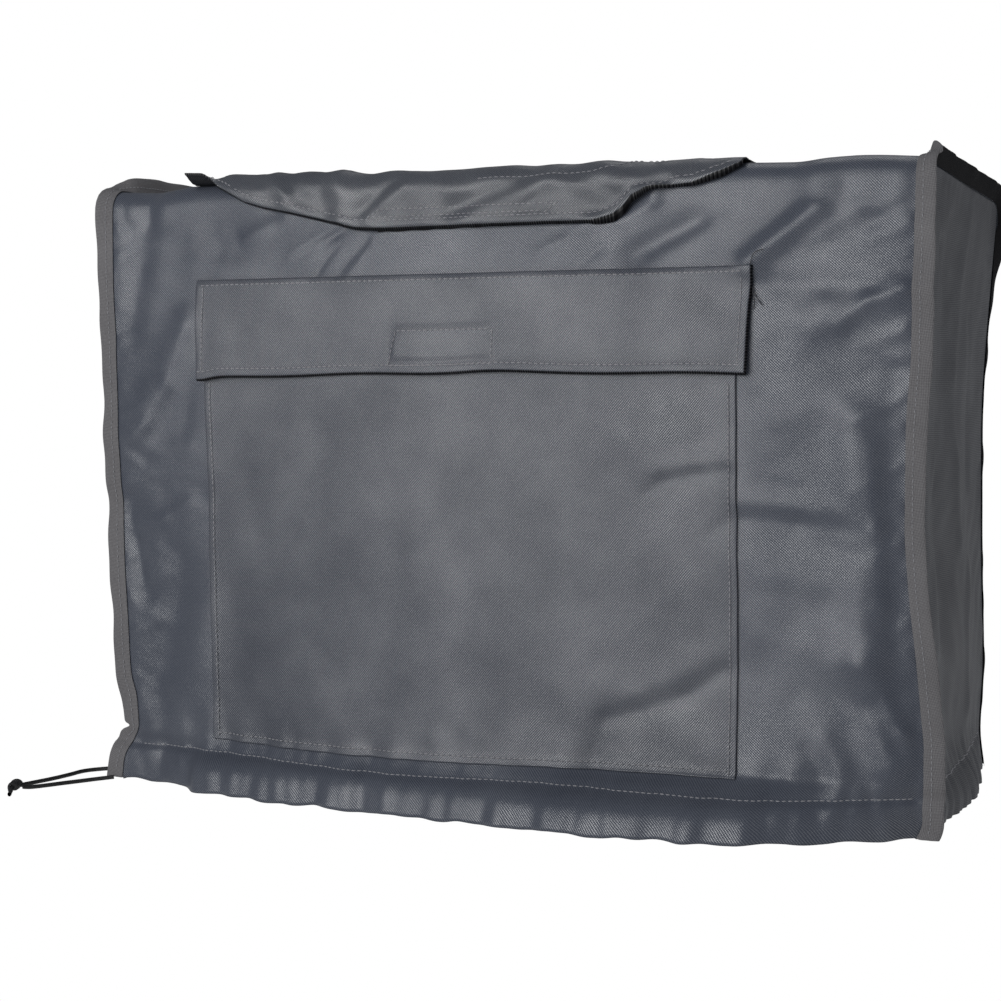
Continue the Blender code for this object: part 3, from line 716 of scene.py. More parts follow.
BACK_CREASES = (
    (-240, 380, -180, 330, 14, 2.0), (-200, 400, -120, 372, 12, -1.6),
    (-260, 120, -230, 260, 14, -2.0), (-246, 130, -214, 250, 10, 1.6),
    (20, 410, 60, 300, 20, 1.6), (60, 400, 110, 310, 14, -1.6),
    (150, 360, 250, 396, 12, 2.0), (240, 80, 262, 260, 12, -2.2),
    (222, 90, 240, 240, 12, 1.6), (-80, 60, -120, 200, 22, -1.8),
    (-20, 80, 60, 180, 26, 1.8), (120, 60, 180, 140, 16, -1.6),
)
TOP_CREASES = (
    (-240, -60, -120, 20, 12, 1.3), (-60, 60, 60, 10, 16, -1.3),
    (40, -40, 190, 40, 12, 1.3), (150, 90, 260, 40, 12, -1.3),
    (-260, 110, -150, 90, 10, 1.2), (-20, 130, 120, 120, 9, 0.9),
    (-270, -20, -230, 60, 9, -1.2), (240, -60, 272, 30, 9, 1.3),
)


def wrap_grid(columns):
    """The outer face of the wrap panel on a grid, with its length along the loop."""
    rows = wrap_rows()
    P = np.zeros((len(rows), len(columns), 3))
    S = np.zeros((len(rows), len(columns)))
    zr = np.full(len(columns), FRONT_TOP)
    for i, (kind, value, s) in enumerate(rows):
        a, b = side_x(kind, value, -1), side_x(kind, value, 1)
        x = a + (b - a) * columns
        v = np.full(len(columns), float(value))
        if kind == "front":
            y, z = front_y(x, v), v
        elif kind == "top":
            y, z = v, top_z(x, v)
        elif kind == "back":
            y, z = back_y(x, v), v
        else:
            if kind == "front_edge":
                y0, z0 = front_y(x, zr), FRONT_TOP
                y1, z1, sign = -98.0, top_z(x, np.full(len(x), -98.0)), 1.0
                t = value
            else:
                y0, z0 = back_y(x, zr - 7), BACK_TOP
                y1, z1, sign = 145.0, top_z(x, np.full(len(x), 145.0)), -1.0
                t = 1 - value
            # straight up, round the edge, then level to the next row
            up = z1 - EDGE_R - z0
            run = np.abs(y1 - y0) - EDGE_R
            total = up + ARC + run
            d = t * total
            a1 = np.clip((d - up) / EDGE_R, 0, np.pi / 2)
            z = z0 + np.minimum(d, up) + EDGE_R * np.sin(a1)
            y = y0 + sign * (EDGE_R * (1 - np.cos(a1)) + np.clip(d - up - ARC, 0, None))
        P[i] = np.stack([x, np.broadcast_to(y, x.shape), np.broadcast_to(z, x.shape)], -1)
        S[i] = s
    # the hem touches the ground unevenly between its gathers
    X0 = P[..., 0]
    lift = 0.55 * (1 + np.sin(X0 / 5.6 + 1.6 * np.sin(X0 / 23.0))) + 0.6 * (1 + np.sin(X0 / 9.7 + np.sin(X0 / 41.0)))
    low = np.array([r[0] in ("front", "back") for r in rows])[:, None]
    P[..., 2] += low * lift * (1 - ease(0, 16, P[..., 2]))
    # length along the cloth from the points themselves, so the weave isn't stretched
    step = np.linalg.norm(np.diff(P, axis=0), axis=-1).mean(axis=1)
    run = np.concatenate([[0], np.cumsum(step)])
    # creases of the top and the back, along the outward normal
    kinds = np.array([r[0] for r in rows])
    H = np.zeros(P.shape[:2])
    X = P[..., 0]
    back = kinds == "back"
    Xb, Zb = X[back].ravel(), P[back][..., 2].ravel()
    hb = folds(BACK_CREASES, Xb, Zb, 1.9) + waves(Xb, Zb, 5, (110, 64, 38), 1.8)
    for k in range(40):
        gx = -270 + k * 13.8 + 3 * np.sin(k * 2.3)
        hb -= (1.6 + 0.8 * np.sin(k * 1.7)) * np.exp(-((np.abs(Xb - gx) / 5.5) ** 2)) * (1 - ease(18, 46, Zb))
    hb -= 1.0 * np.exp(-(((Zb - 27) / 2.4) ** 2))
    H[back] = hb.reshape(H[back].shape)
    top = (kinds == "top") | (kinds == "front_edge") | (kinds == "back_edge")
    Xt, Yt = X[top].ravel(), P[top][..., 1].ravel()
    ht = folds(TOP_CREASES, Xt, Yt, 1.9) + waves(Xt, Yt, 9, (96, 60, 34), 1.0)
    H[top] = ht.reshape(H[top].shape)
    edge = kinds == "front_edge"
    te = np.array([r[1] for r in rows])[edge][:, None]
    H[edge] = H[edge] * ease(0.1, 0.9, te)
    edge = kinds == "back_edge"
    H *= ease(0, 0.03, columns)[None] * ease(0, 0.03, 1 - columns)[None]
    N = normals_of(P)
    if N[len(rows) // 4, len(columns) // 2] @ np.array([0, -1.0, 0]) < 0:
        N = -N
    P = P + N * H[..., None]
    P[..., 2] = np.maximum(P[..., 2], 0.15)
    return P, run, kinds


COLS = spaced((0.0, 0.012, 0.03, 0.97, 0.988, 1.0), 2.75 / 596)
WRAP, WRAP_RUN, WRAP_KINDS = wrap_grid(COLS)


def hem_return(P, inward):
    """The hem's inner layer: rows that turn under at the bottom and go back up."""
    rows = []
    n = min(len(P), 20)
    for dy, dz in ((0.8, 0.0), (2.4, 0.6), (3.2, 3.0), (3.4, 9.0), (3.4, 16.0), (3.2, 24.0)):
        q = np.zeros_like(P[0])
        for j in range(P.shape[1]):
            z = P[0, j, 2] + dz
            for k in (0, 1):
                q[j, k] = np.interp(z, P[:n, j, 2], P[:n, j, k])
            q[j, 2] = max(z, 0.15)
        rows.append(q + inward * dy)
    return np.array(rows[::-1])


front_in = np.tile(np.array([0, 1.0, 0]), (len(COLS), 1))
back_in = -front_in
WRAP[0, :, 2] = np.maximum(WRAP[0, :, 2], 0.15)
WRAP[-1, :, 2] = np.maximum(WRAP[-1, :, 2], 0.15)
ret_a = hem_return(WRAP, front_in)
ret_b = hem_return(WRAP[::-1], back_in)[::-1]
wrap_all = np.concatenate([ret_a, WRAP, ret_b])
run_all = np.concatenate([WRAP_RUN[0] - np.arange(6, 0, -1) * 4.0, WRAP_RUN, WRAP_RUN[-1] + np.arange(1, 7) * 4.0])
uv = np.stack(np.broadcast_arrays(COLS[None] * 0.596, run_all[:, None] * M), -1)
# the turned-under hem rows are painted near-black: painted shade inside the cover
shade_mask = np.zeros(wrap_all.shape[:2])
shade_mask[:5] = 1.0
shade_mask[-5:] = 1.0
n_r, n_c = wrap_all.shape[:2]
wrap = faces_mesh("wrap", wrap_all.reshape(-1, 3), grid_quads(n_r, n_c, flip=False),
                  uv.reshape(-1, 2), shade_mask=shade_mask.ravel())
finish_piece(wrap, MAT_CLOTH, "wrap_panel")

# ------------------------------------------------------------------ side panels
SIDE_SWELLS = {
    1: (
        (10, 330, 60, 90, -5.0), (-60, 230, 26, 130, 3.5), (-10, 180, 24, 120, -4.0),
        (70, 220, 34, 150, 3.0), (0, 70, 80, 40, -3.0),
    ),
    -1: (
        (20, 300, 70, 100, -6.0), (-70, 200, 28, 120, 3.0), (90, 170, 32, 130, 3.0),
        (0, 120, 50, 60, -3.0),
    ),
}
# Creases of each side: y1, z1, y2, z2, half width, height (out +).
SIDE_CREASES = {
    1: (
        (-60, 418, -18, 384, 9, -2.2), (-18, 384, 20, 352, 8, -1.6),
        (-96, 420, -84, 330, 7, 1.2), (-84, 330, -70, 250, 8, 1.6),
        (-100, 300, -92, 200, 9, -1.5), (-40, 360, -30, 240, 9, 1.4),
        (-30, 240, -44, 120, 10, 1.4), (0, 400, 18, 300, 9, -1.3),
        (60, 410, 40, 300, 10, 1.5), (40, 300, 60, 180, 9, 1.4),
        (-112, 180, -96, 90, 7, 1.5), (-80, 110, -40, 60, 10, -2.0),
        (-20, 110, 40, 70, 10, 1.4), (90, 340, 110, 220, 8, -1.4),
        (100, 160, 80, 60, 9, 1.6), (-106, 70, -70, 40, 7, 1.6),
    ),
    -1: (
        (-70, 410, 0, 360, 9, -2.0), (-90, 300, -70, 180, 9, 1.6),
        (-30, 340, -10, 200, 10, -1.6), (30, 380, 50, 240, 10, 1.6),
        (90, 400, 110, 260, 9, -1.6), (60, 180, 90, 70, 10, 1.6),
        (-60, 130, 20, 80, 10, -1.8), (-100, 110, -60, 50, 8, 1.5),
    ),
}


def side_grid(hand, ts, zs):
    inset = 0.9
    crown = 432.0
    P = np.zeros((len(zs), len(ts), 3))
    for i, row_z in enumerate(zs):
        drop = max(0.0, row_z - (crown - EDGE_R))
        cut = EDGE_R - np.sqrt(max(0.0, EDGE_R**2 - drop**2))
        xf = side_x("front", min(row_z, 440), hand)
        y_front = float(front_y(xf, min(row_z, FRONT_TOP))) + inset + cut
        xb = side_x("back", min(row_z, 440), hand)
        y_back = float(back_y(xb, min(row_z, BACK_TOP))) - inset - cut
        y = y_front * (1 - ts) + y_back * ts
        x = xf * (1 - ts) + xb * ts
        span = np.sin(np.pi * ts) ** 1.3
        swell = np.zeros(len(ts))
        z = np.full(len(ts), float(row_z))
        for sy, sz, wy, wz, high in SIDE_SWELLS[hand]:
            swell += high * np.exp(-(((y - sy) / wy) ** 2) - ((z - sz) / wz) ** 2)
        flare = 15.0 * (1 - ease(0, 50, z)) * span
        gather = 1.2 * np.sin(ts * 34 + hand) * (1 - ease(20, 38, z)) * span
        x = x + hand * (swell * span * (1 - ease(380, 432, z)) + flare + gather)
        level = float(top_z(side_x("top", -98, hand), -98)) * (1 - ts) + float(
            top_z(side_x("top", 145, hand), 145)
        ) * ts - inset
        z = row_z + (level - crown) * ease(330, crown, row_z)
        P[i] = np.stack([x, y, z], -1)
    Y, Z = P[..., 1].ravel(), P[..., 2].ravel()
    h = folds(SIDE_CREASES[hand], Y, Z, 1.8) + waves(Y, Z, 17 + hand, (84, 52, 30), 1.5)
    for k in range(20):
        gy = -112 + k * 14.0 + 3 * np.sin(k * 1.9 + hand)
        h -= (2.0 + 0.9 * np.sin(k * 2.7)) * np.exp(-((np.abs(Y - gy) / 5.0) ** 2)) * (1 - ease(20, 50, Z))
    h -= 1.2 * np.exp(-(((Z - 27) / 2.4) ** 2))
    h = h.reshape(P.shape[:2])
    # eased into the seams: short ridges along both edges and the top
    rows_z = P[..., 2]
    edge = np.minimum(ts, 1 - ts)[None] * 300
    h = h + 0.9 * np.sin(rows_z / 3.9 + 3 * np.sin(rows_z / 31.0)) * np.exp(-edge / 9.0) * ease(0, 4, edge)
    top_gap = np.clip(432 - zs, 0, None)[:, None]
    h = h + 0.9 * np.sin(P[..., 1] / 3.6 + 2 * np.sin(P[..., 1] / 27.0)) * np.exp(-top_gap / 9.0) * ease(0, 4, top_gap)
    fade = ease(0, 10, edge) * ease(0, 10, top_gap + 2)
    P[..., 0] += hand * h * fade
    return P


T_SIDE = spaced((0.0, 0.03, 0.97, 1.0), 2.9 / 300)
Z_SIDE = np.concatenate([spaced((0.0, 24.0, 30.0, 60.0, 405.0), 3.0), spaced((405.0, 426.0, 432.0), 1.6)[1:]])
SIDES = {}
for hand, node in ((-1, "side_left"), (1, "side_right")):
    P = side_grid(hand, T_SIDE, Z_SIDE)
    P[0, :, 2] = 0.15
    inward = np.tile(np.array([-hand * 1.0, 0, 0]), (len(T_SIDE), 1))
    ret = hem_return(P, inward)
    full = np.concatenate([ret, P])
    runz = np.concatenate([-np.arange(6, 0, -1) * 4.0, np.concatenate([[0], np.cumsum(
        np.linalg.norm(np.diff(P, axis=0), axis=-1).mean(axis=1))])])
    uv = np.stack(np.broadcast_arrays(T_SIDE[None] * 0.3, runz[:, None] * M), -1)
    # the turned-under hem rows are painted near-black: painted shade inside the cover
    mk = np.zeros(full.shape[:2])
    mk[:5] = 1.0
    ob = faces_mesh(node + "_cloth", full.reshape(-1, 3),
                    grid_quads(*full.shape[:2], flip=hand < 0), uv.reshape(-1, 2), shade_mask=mk.ravel())
    finish_piece(ob, MAT_SIDE, node)
    SIDES[hand] = (ob, P)

# ------------------------------------------------------------ stitches
STITCH = 3.1
STITCH_GAP = 1.0
STITCHES = []


def stitch_line(points, lift=(0, -0.25, 0), thick=0.42, length=STITCH, gap=STITCH_GAP):
    """Rounded stitches along a run of points that already lie on the cloth."""
    p = np.asarray(points, float)
    run = np.concatenate([[0], np.cumsum(np.linalg.norm(np.diff(p, axis=0), axis=1))])
    at = np.arange(gap / 2, run[-1] - length, length + gap)
    sides = 6
    for k, s in enumerate(at):
        jitter = 0.25 * np.sin(k * 12.9898)
        ends = np.array([s + jitter, s + length * 0.22, s + length * 0.5, s + length * 0.78, s + length])
        c = np.stack([np.interp(ends, run, p[:, j]) for j in range(3)], -1) + np.array(lift)
        d = c[-1] - c[0]
        d /= max(np.linalg.norm(d), 1e-9)
        n = np.array(lift) / np.linalg.norm(lift)
        w = np.cross(d, n)
        w /= max(np.linalg.norm(w), 1e-9)
        arch = np.array([-0.30, 0.06, 0.14, 0.06, -0.30])
        fat = np.array([0.28, 0.85, 1.0, 0.85, 0.28]) * thick
        rings = []
        for q, a, f in zip(c, arch, fat):
            ang = np.arange(sides) * 2 * np.pi / sides
            rings.append(q + n * a + np.cos(ang)[:, None] * w * f + np.sin(ang)[:, None] * n * f * 0.8)
        STITCHES.append(np.array(rings))


def make_stitches(name, mat):
    if not STITCHES:
        return None
    R = np.array(STITCHES)
    n, rings, sides = R.shape[:3]
    verts = R.reshape(-1, 3)
    i, j, k = np.meshgrid(np.arange(n), np.arange(rings - 1), np.arange(sides), indexing="ij")
    a = (i * rings + j) * sides + k
    b = (i * rings + j) * sides + (k + 1) % sides
    quads = np.stack([a, b, b + sides, a + sides], -1).reshape(-1, 4)
    ob = faces_mesh(name, verts, quads)
    ob.data.materials.append(mat)
    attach(ob, BODY)
    STITCHES.clear()
    return ob


def front_run(xs, zs, off):
    xs, zs = np.asarray(xs, float), np.asarray(zs, float)
    return np.stack([xs, front_y(xs, zs) - off, zs], -1)


# ------------------------------------------------------------ binding tapes
def ruffle(s, seed):
    return (
        0.8 * np.sin(s / 13.0 + seed)
        + 0.6 * np.sin(s / 6.1 + 2.0 * seed)
        + 0.45 * np.sin(s / 31.0 + seed * 0.7)
    )


STAND = {
    "front": (1.0, 0.0, 0.0),
    "front_edge": (0.95, -0.15, 0.20),
    "top": (0.28, 0.0, 0.96),
    "back_edge": (0.60, 0.35, 0.70),
    "back": (1.0, 0.0, 0.0),
}
# Down the back the flange folds away behind the cover: height, how far.
AWAY = {"z": (330, 345, 370, 400, 430, 440), "part": (1.0, 0.86, 0.78, 0.57, 0.42, 0.35)}


def binding(hand, node):
    """Woven tape folded round the flange, eased over the corners."""
    col = 0 if hand < 0 else -1
    seam = WRAP[:, col].copy()
    kinds = WRAP_KINDS
    run = np.concatenate([[0], np.cumsum(np.linalg.norm(np.diff(seam, axis=0), axis=1))])
    want = np.arange(0, run[-1], 2.2)
    want = np.append(want, run[-1])
    p = np.stack([np.interp(want, run, seam[:, k]) for k in range(3)], -1)
    d0 = np.array([STAND[k] for k in kinds], float)
    away = smooth(AWAY["z"], AWAY["part"], seam[:, 2]) * (kinds == "back")
    d0 += away[:, None] * (np.array((-0.22, 1.0, 0.0)) - d0)
    d0 = d0 * np.array([hand, 1, 1])
    # the direction turns smoothly round the corners
    d = np.stack([np.interp(want, run, d0[:, k]) for k in range(3)], -1)
    w = 17
    ker = np.hanning(w + 2)[1:-1]
    ker /= ker.sum()
    d = np.stack([np.convolve(np.pad(d[:, k], w // 2, mode="edge"), ker, mode="valid") for k in range(3)], -1)
    t = np.gradient(p, axis=0)
    t /= np.linalg.norm(t, axis=1, keepdims=True)
    d = d - t * (d * t).sum(1, keepdims=True)
    d /= np.linalg.norm(d, axis=1, keepdims=True)
    n = np.cross(t, d) * -hand
    n /= np.linalg.norm(n, axis=1, keepdims=True)
    # n faces the viewer on the front stretch
    s = want
    wide = FLANGE + 0.5 * np.sin(s / 47.0 + hand)
    if hand < 0:  # pinched where the hem's stitches cross it
        wide = wide * (1 - 0.42 * np.exp(-(((p[:, 2] - 36) / 4.5) ** 2)) * (p[:, 1] < 0))
    bend = ruffle(s, 1.3 if hand < 0 else 2.4)
    # across the tape: outer face from the seam to the edge, round it, and back
    across = ((-0.2, 0.9), (1.2, 1.15), (3.0, 1.05), (5.0, 1.1), (8.0, 1.2), (10.6, 1.15), (12.2, 0.95), (13.0, 0.45),
              (13.2, 0.0), (13.0, -0.45), (12.2, -0.95), (10.0, -1.1), (6.0, -1.15), (2.0, -1.1), (-0.2, -0.9))
    P = np.zeros((len(s), len(across), 3))
    for j, (a, h) in enumerate(across):
        a_here = a * wide / FLANGE
        lift = bend * (max(a, 0) / FLANGE) ** 1.5
        P[:, j] = p + d * a_here[:, None] + n * (h + lift)[:, None]
    P[..., 2] = np.maximum(P[..., 2], 0.15)
    uv = np.stack(np.broadcast_arrays(np.array([a[0] for a in across])[None] * M, s[:, None] * M), -1)
    top_part = np.interp(s, run, np.isin(kinds, ("top", "back_edge", "back")).astype(float))
    # The tape's far face along the top and down the back is pushed to near-black, fully on the right and 0.6 on the
    # left: painted shade.
    mk = np.zeros(P.shape[:2])
    mk[:, 8:] = 1.0 * top_part[:, None]
    if hand < 0:
        mk[:, 8:] = 0.6 * top_part[:, None]
    ob = faces_mesh(node + "_tape", P.reshape(-1, 3), grid_quads(*P.shape[:2], flip=hand > 0),
                    uv.reshape(-1, 2), shade_mask=mk.ravel())
    finish_piece(ob, MAT_TAPE, node)
    # one row of stitches near the seam
    keep = slice(3, len(s) - 3)
    line = P[keep, 3] + n[keep] * 0.12
    for a in range(0, len(line) - 1, 40):
        seg = line[a : a + 41]
        if len(seg) > 3:
            nn = n[keep][min(len(line) - 1, a + 20)]
            stitch_line(seg, lift=tuple(nn * 0.12), thick=0.33, length=2.6, gap=1.0)
    return ob, P


BIND_L, PL = binding(-1, "binding_left")
BIND_R, PR = binding(1, "binding_right")
make_stitches("binding_stitches", MAT_THREAD)

# ------------------------------------------------------------ patch pocket
POCKET = {
    "z": (37, 95, 150, 205, 260, 300, 352),
    "left": (-207, -209, -211, -212, -215, -217, -218),
    "right": (187, 186, 185, 183, 182, 181, 181),
}


def edge_steps(lo, hi, step, turn=6.0):
    return spaced((lo, lo + 0.8, lo + 2.2, lo + turn - 0.8, lo + turn + 0.8, lo + turn + 4,
                   hi - turn - 4, hi - turn - 0.8, hi - turn + 0.8, hi - 2.2, hi - 0.8, hi), step)


def patch(name, z_lo, z_hi, left_of, right_of, off_of, thick, step, slant=None, turned=6.0, shade_overhang=(0, 0)):
    """A sewn patch that follows the front, with turned-in double edges."""
    zs = edge_steps(z_lo, z_hi, step, turned)
    width = right_of((z_lo + z_hi) / 2) - left_of((z_lo + z_hi) / 2)
    us = edge_steps(0.0, width, step, turned) / width
    Z, U = np.meshgrid(zs, us, indexing="ij")
    L, R = left_of(zs)[:, None], right_of(zs)[:, None]
    X = L + (R - L) * U
    Zs = Z + (slant(X, Z) if slant else 0.0)
    edge = np.minimum(np.minimum(U * width, (1 - U) * width), np.minimum(Z - z_lo, z_hi - Z))
    double = 0.7 * (1 - ease(turned - 0.6, turned + 1.2, edge))
    groove = -0.45 * np.exp(-(((edge - (turned - 1.2)) / 0.9) ** 2))
    puff = 0.10 * np.sin((X + Z) / 1.7) * np.exp(-(((edge - turned + 1) / 4.0) ** 2))
    soft = 0.25 * (1 - ease(0, 1.6, edge))
    base = front_y(X, Zs)
    Y = base - off_of(U, (Z - z_lo) / (z_hi - z_lo)) - double - groove - puff + soft
    outer = np.stack([X, Y, Zs], -1)
    inner = outer + np.array([0, thick, 0.0])
    inner[..., 1] += double
    # the inner layer, painted near-black as shade, shows along a loose edge: below, and on the right
    inner[..., 2] -= shade_overhang[0] * (1 - ease(0, 3.0, Z - z_lo))
    inner[..., 0] += shade_overhang[1] * (1 - ease(0, 3.0, (1 - U) * width))
    uv = np.stack([X * M, Zs * M], -1)
    return shell(name, outer, inner, uv), outer


def pocket_left(z):
    return smooth(POCKET["z"], POCKET["left"], z)


def pocket_right(z):
    return smooth(POCKET["z"], POCKET["right"], z)


pocket, POCKET_P = patch("pocket", 37.0, 352.0, lambda z: pocket_left(np.atleast_1d(z)), lambda z: pocket_right(np.atleast_1d(z)),
                         lambda u, w: 1.3 + 0.5 * np.sin(np.pi * u) * np.sin(np.pi * w), 0.8, 3.0,
                         slant=lambda x, z: 0.9 * np.sin(x / 61.0) * (1 - ease(37, 60, z)))
finish_piece(pocket, MAT_POCKET, "pocket_panel")


def pocket_line(side):
    zs = np.arange(39, 296, 1.5)
    if side == "left":
        return zs, pocket_left(zs) + 4.8
    return zs, pocket_right(zs) - 4.8


for side in ("left", "right"):
    zs, xs = pocket_line(side)
    stitch_line(front_run(xs, zs, 2.6), thick=0.40)
xs = np.arange(-203, 184, 1.5)
stitch_line(front_run(xs, 41.8 + 0.9 * np.sin(xs / 61.0), 2.6), thick=0.40)
make_stitches("pocket_stitches", MAT_THREAD)

# ------------------------------------------------------------ pocket flap
FLAP_LEFT = {"z": (297, 332, 366), "x": (-220, -222, -224)}
FLAP_RIGHT = {"z": (297, 332, 366), "x": (188, 189, 191)}


def flap_off(u, w):
    """How far the flap stands off the front: sewn above, loose below."""
    loose = 3.4 + 3.6 * (1 - w) ** 1.3 + 0.9 * np.sin(u * 15.0 + 0.8) * (1 - w)
    return np.where(w > 0.93, 2.0 + (loose - 2.0) * (1 - w) / 0.07, loose)


def flap_slant(x, z):
    t = (x + 224) / 415
    lift = 2.0 * np.sin(np.pi * np.clip(t, 0, 1)) * (366 - z) / 69
    peak = 1.1 * np.exp(-(((x - 8) / 26) ** 2)) * (366 - z) / 69
    dip = -2.2 * np.exp(-(((x + 216) / 10) ** 2)) * (366 - z) / 69
    return t * 3.0 + lift + peak + dip + 0.5 * np.sin(x / 19.0) * (366 - z) / 69


def flap_fine(X, Z):
    """The hook-and-loop patch behind the flap, and its puckers."""
    inside = ease(-66, -63, X) * (1 - ease(8, 11, X)) * ease(305, 307.5, Z) * (1 - ease(328.5, 331, Z))
    ridge = folds(((12, 305, 14, 331, 3, 0.9), (8, 322, 22, 320, 3, -0.6), (-66, 305, -62, 330, 2.5, -0.5),
                   (150, 360, 176, 338, 7, -0.9), (120, 345, 170, 320, 9, 0.5)), X.ravel(), Z.ravel(), 1.8).reshape(X.shape)
    return 0.9 * inside + ridge


def flap_offset(u, w):
    X = -222 + u * 411
    Z = 297 + w * 69
    return flap_off(u, w) + flap_fine(X, Z)


pocket_flap, FLAP_P = patch(
    "pocket_flap_cloth", 297.0, 366.0,
    lambda z: smooth(FLAP_LEFT["z"], FLAP_LEFT["x"], np.atleast_1d(z)),
    lambda z: smooth(FLAP_RIGHT["z"], FLAP_RIGHT["x"], np.atleast_1d(z)),
    flap_offset, 1.0, 2.4, slant=flap_slant, shade_overhang=(1.7, 1.3))
finish_piece(pocket_flap, MAT_POCKET, "pocket_flap")


def on_sheet(P, xs, zs, lift=0.15):
    """Points on a made sheet (rows by height) at given x and z."""
    X, Y, Z = P[..., 0], P[..., 1], P[..., 2]
    out = []
    cols = np.arange(P.shape[1])
    mid = X[X.shape[0] // 2]
    for x, z in zip(xs, zs):
        c = np.interp(x, mid, cols)
        j = int(np.clip(c, 0, P.shape[1] - 2))
        f = c - j
        zcol = Z[:, j] * (1 - f) + Z[:, j + 1] * f
        ycol = Y[:, j] * (1 - f) + Y[:, j + 1] * f
        out.append((x, float(np.interp(z, zcol, ycol)) - lift, z))
    return np.array(out)


def flap_z(x, w):
    z = 297 + w * 69
    return z + flap_slant(x, z)


xs = np.arange(-220, 188, 1.5)
stitch_line(on_sheet(FLAP_P, xs, flap_z(xs, 0.072)), thick=0.40)
stitch_line(on_sheet(FLAP_P, xs, flap_z(xs, 0.945)), thick=0.42)
for x0 in (-216.5, 184.0):
    ws = np.arange(0.07, 0.94, 0.02)
    xx = np.full(len(ws), x0) + (ws - 0.5) * (3 if x0 > 0 else -3) * 0.6
    stitch_line(on_sheet(FLAP_P, xx, flap_z(xx, ws)), thick=0.40)
# the closure tape's stitched outline
BOX = ((-66, 304.5), (-61, 328.5), (11, 329.5), (12, 306), (-66, 304.5))
for (xa, za), (xb, zb) in zip(BOX, BOX[1:]):
    k = max(4, int(np.hypot(xb - xa, zb - za) / 1.4))
    stitch_line(on_sheet(FLAP_P, np.linspace(xa, xb, k), np.linspace(za, zb, k)), thick=0.40)
make_stitches("flap_stitches", MAT_THREAD)

# ------------------------------------------------- hook-and-loop strip, front
xs = spaced((-79.0, 66.0), 2.4)
zs = spaced((397.0, 398.2, 420.8, 422.0), 1.6)
Z, X = np.meshgrid(zs, xs, indexing="ij")
Zs = Z + (X + 79) / 145 * 3.0
bristle = 0.25 * np.sin(X * 2.9) * np.sin(Z * 3.1 + X)
edge = np.minimum(Z - 397, 422 - Z)
Y = front_y(X, Zs) - 1.9 - bristle + 0.5 * (1 - ease(0, 1.0, edge))
outer = np.stack([X, Y, Zs + 0.25 * np.sin(X / 3.1) * (Z < 398)], -1)
inner = outer + np.array([0, 1.4, 0])
strip = shell("loop_strip", outer, inner, np.stack([X * M, Zs * M], -1))
finish_piece(strip, MAT_LOOP, "top_tape")

# ---------------------------------------------------- flap over the top edge
TOP_FLAP_EDGE = {
    "x": (-232, -203, -184, -169, -148, -130, -112, -96, -80, -58, 0, 40, 81, 86, 96, 103, 108, 119, 150, 182),
    "z": (440, 431, 421.5, 417, 413, 409, 405, 401, 400, 400, 400.6, 401, 401, 402.5, 405.5, 411, 417, 421, 423.5, 436),
}
FLAP_CREST = {"x": (-232, -100, 0, 100, 182), "z": (441.2, 441, 440.2, 440, 440)}
FLAP_BACK_Y, FLAP_BEND = -78.0, 17.0
# How far the flap's near-black inner layer, painted shade, shows under its edge.
FLAP_SHADE_OVERHANG = {
    "x": (-232, -200, -150, -96, 0, 76, 88, 100, 114, 130, 150, 168, 182),
    "z": (0.5, 1.2, 1.6, 2.2, 2.0, 2.0, 4.5, 6.0, 4.0, 1.6, 2.4, 4.0, 1.5),
}
# Creases across the flap: x1, s1, x2, s2 (s is the height on the hung part).
TOP_FLAP_CREASES = (
    (-200, 440, -176, 426, 8, 0.9), (-165, 438, -150, 424, 5, 1.6), (-152, 440, -138, 424, 6, -1.0),
    (-112, 442, -106, 406, 9, 2.0), (-128, 436, -120, 412, 7, -1.2), (-92, 412, -68, 432, 5, -2.0),
    (-84, 406, -58, 428, 5, 1.4), (-60, 440, -30, 446, 8, -0.9), (-24, 411, 40, 434, 6, -1.5),
    (-14, 404, 52, 428, 6, 1.4), (30, 409, 46, 424, 3, -0.9), (52, 408, 88, 436, 8, 1.0),
    (90, 410, 120, 438, 7, -1.2), (100, 424, 150, 440, 6, 1.2), (-48, 418, 0, 424, 10, 0.7),
)


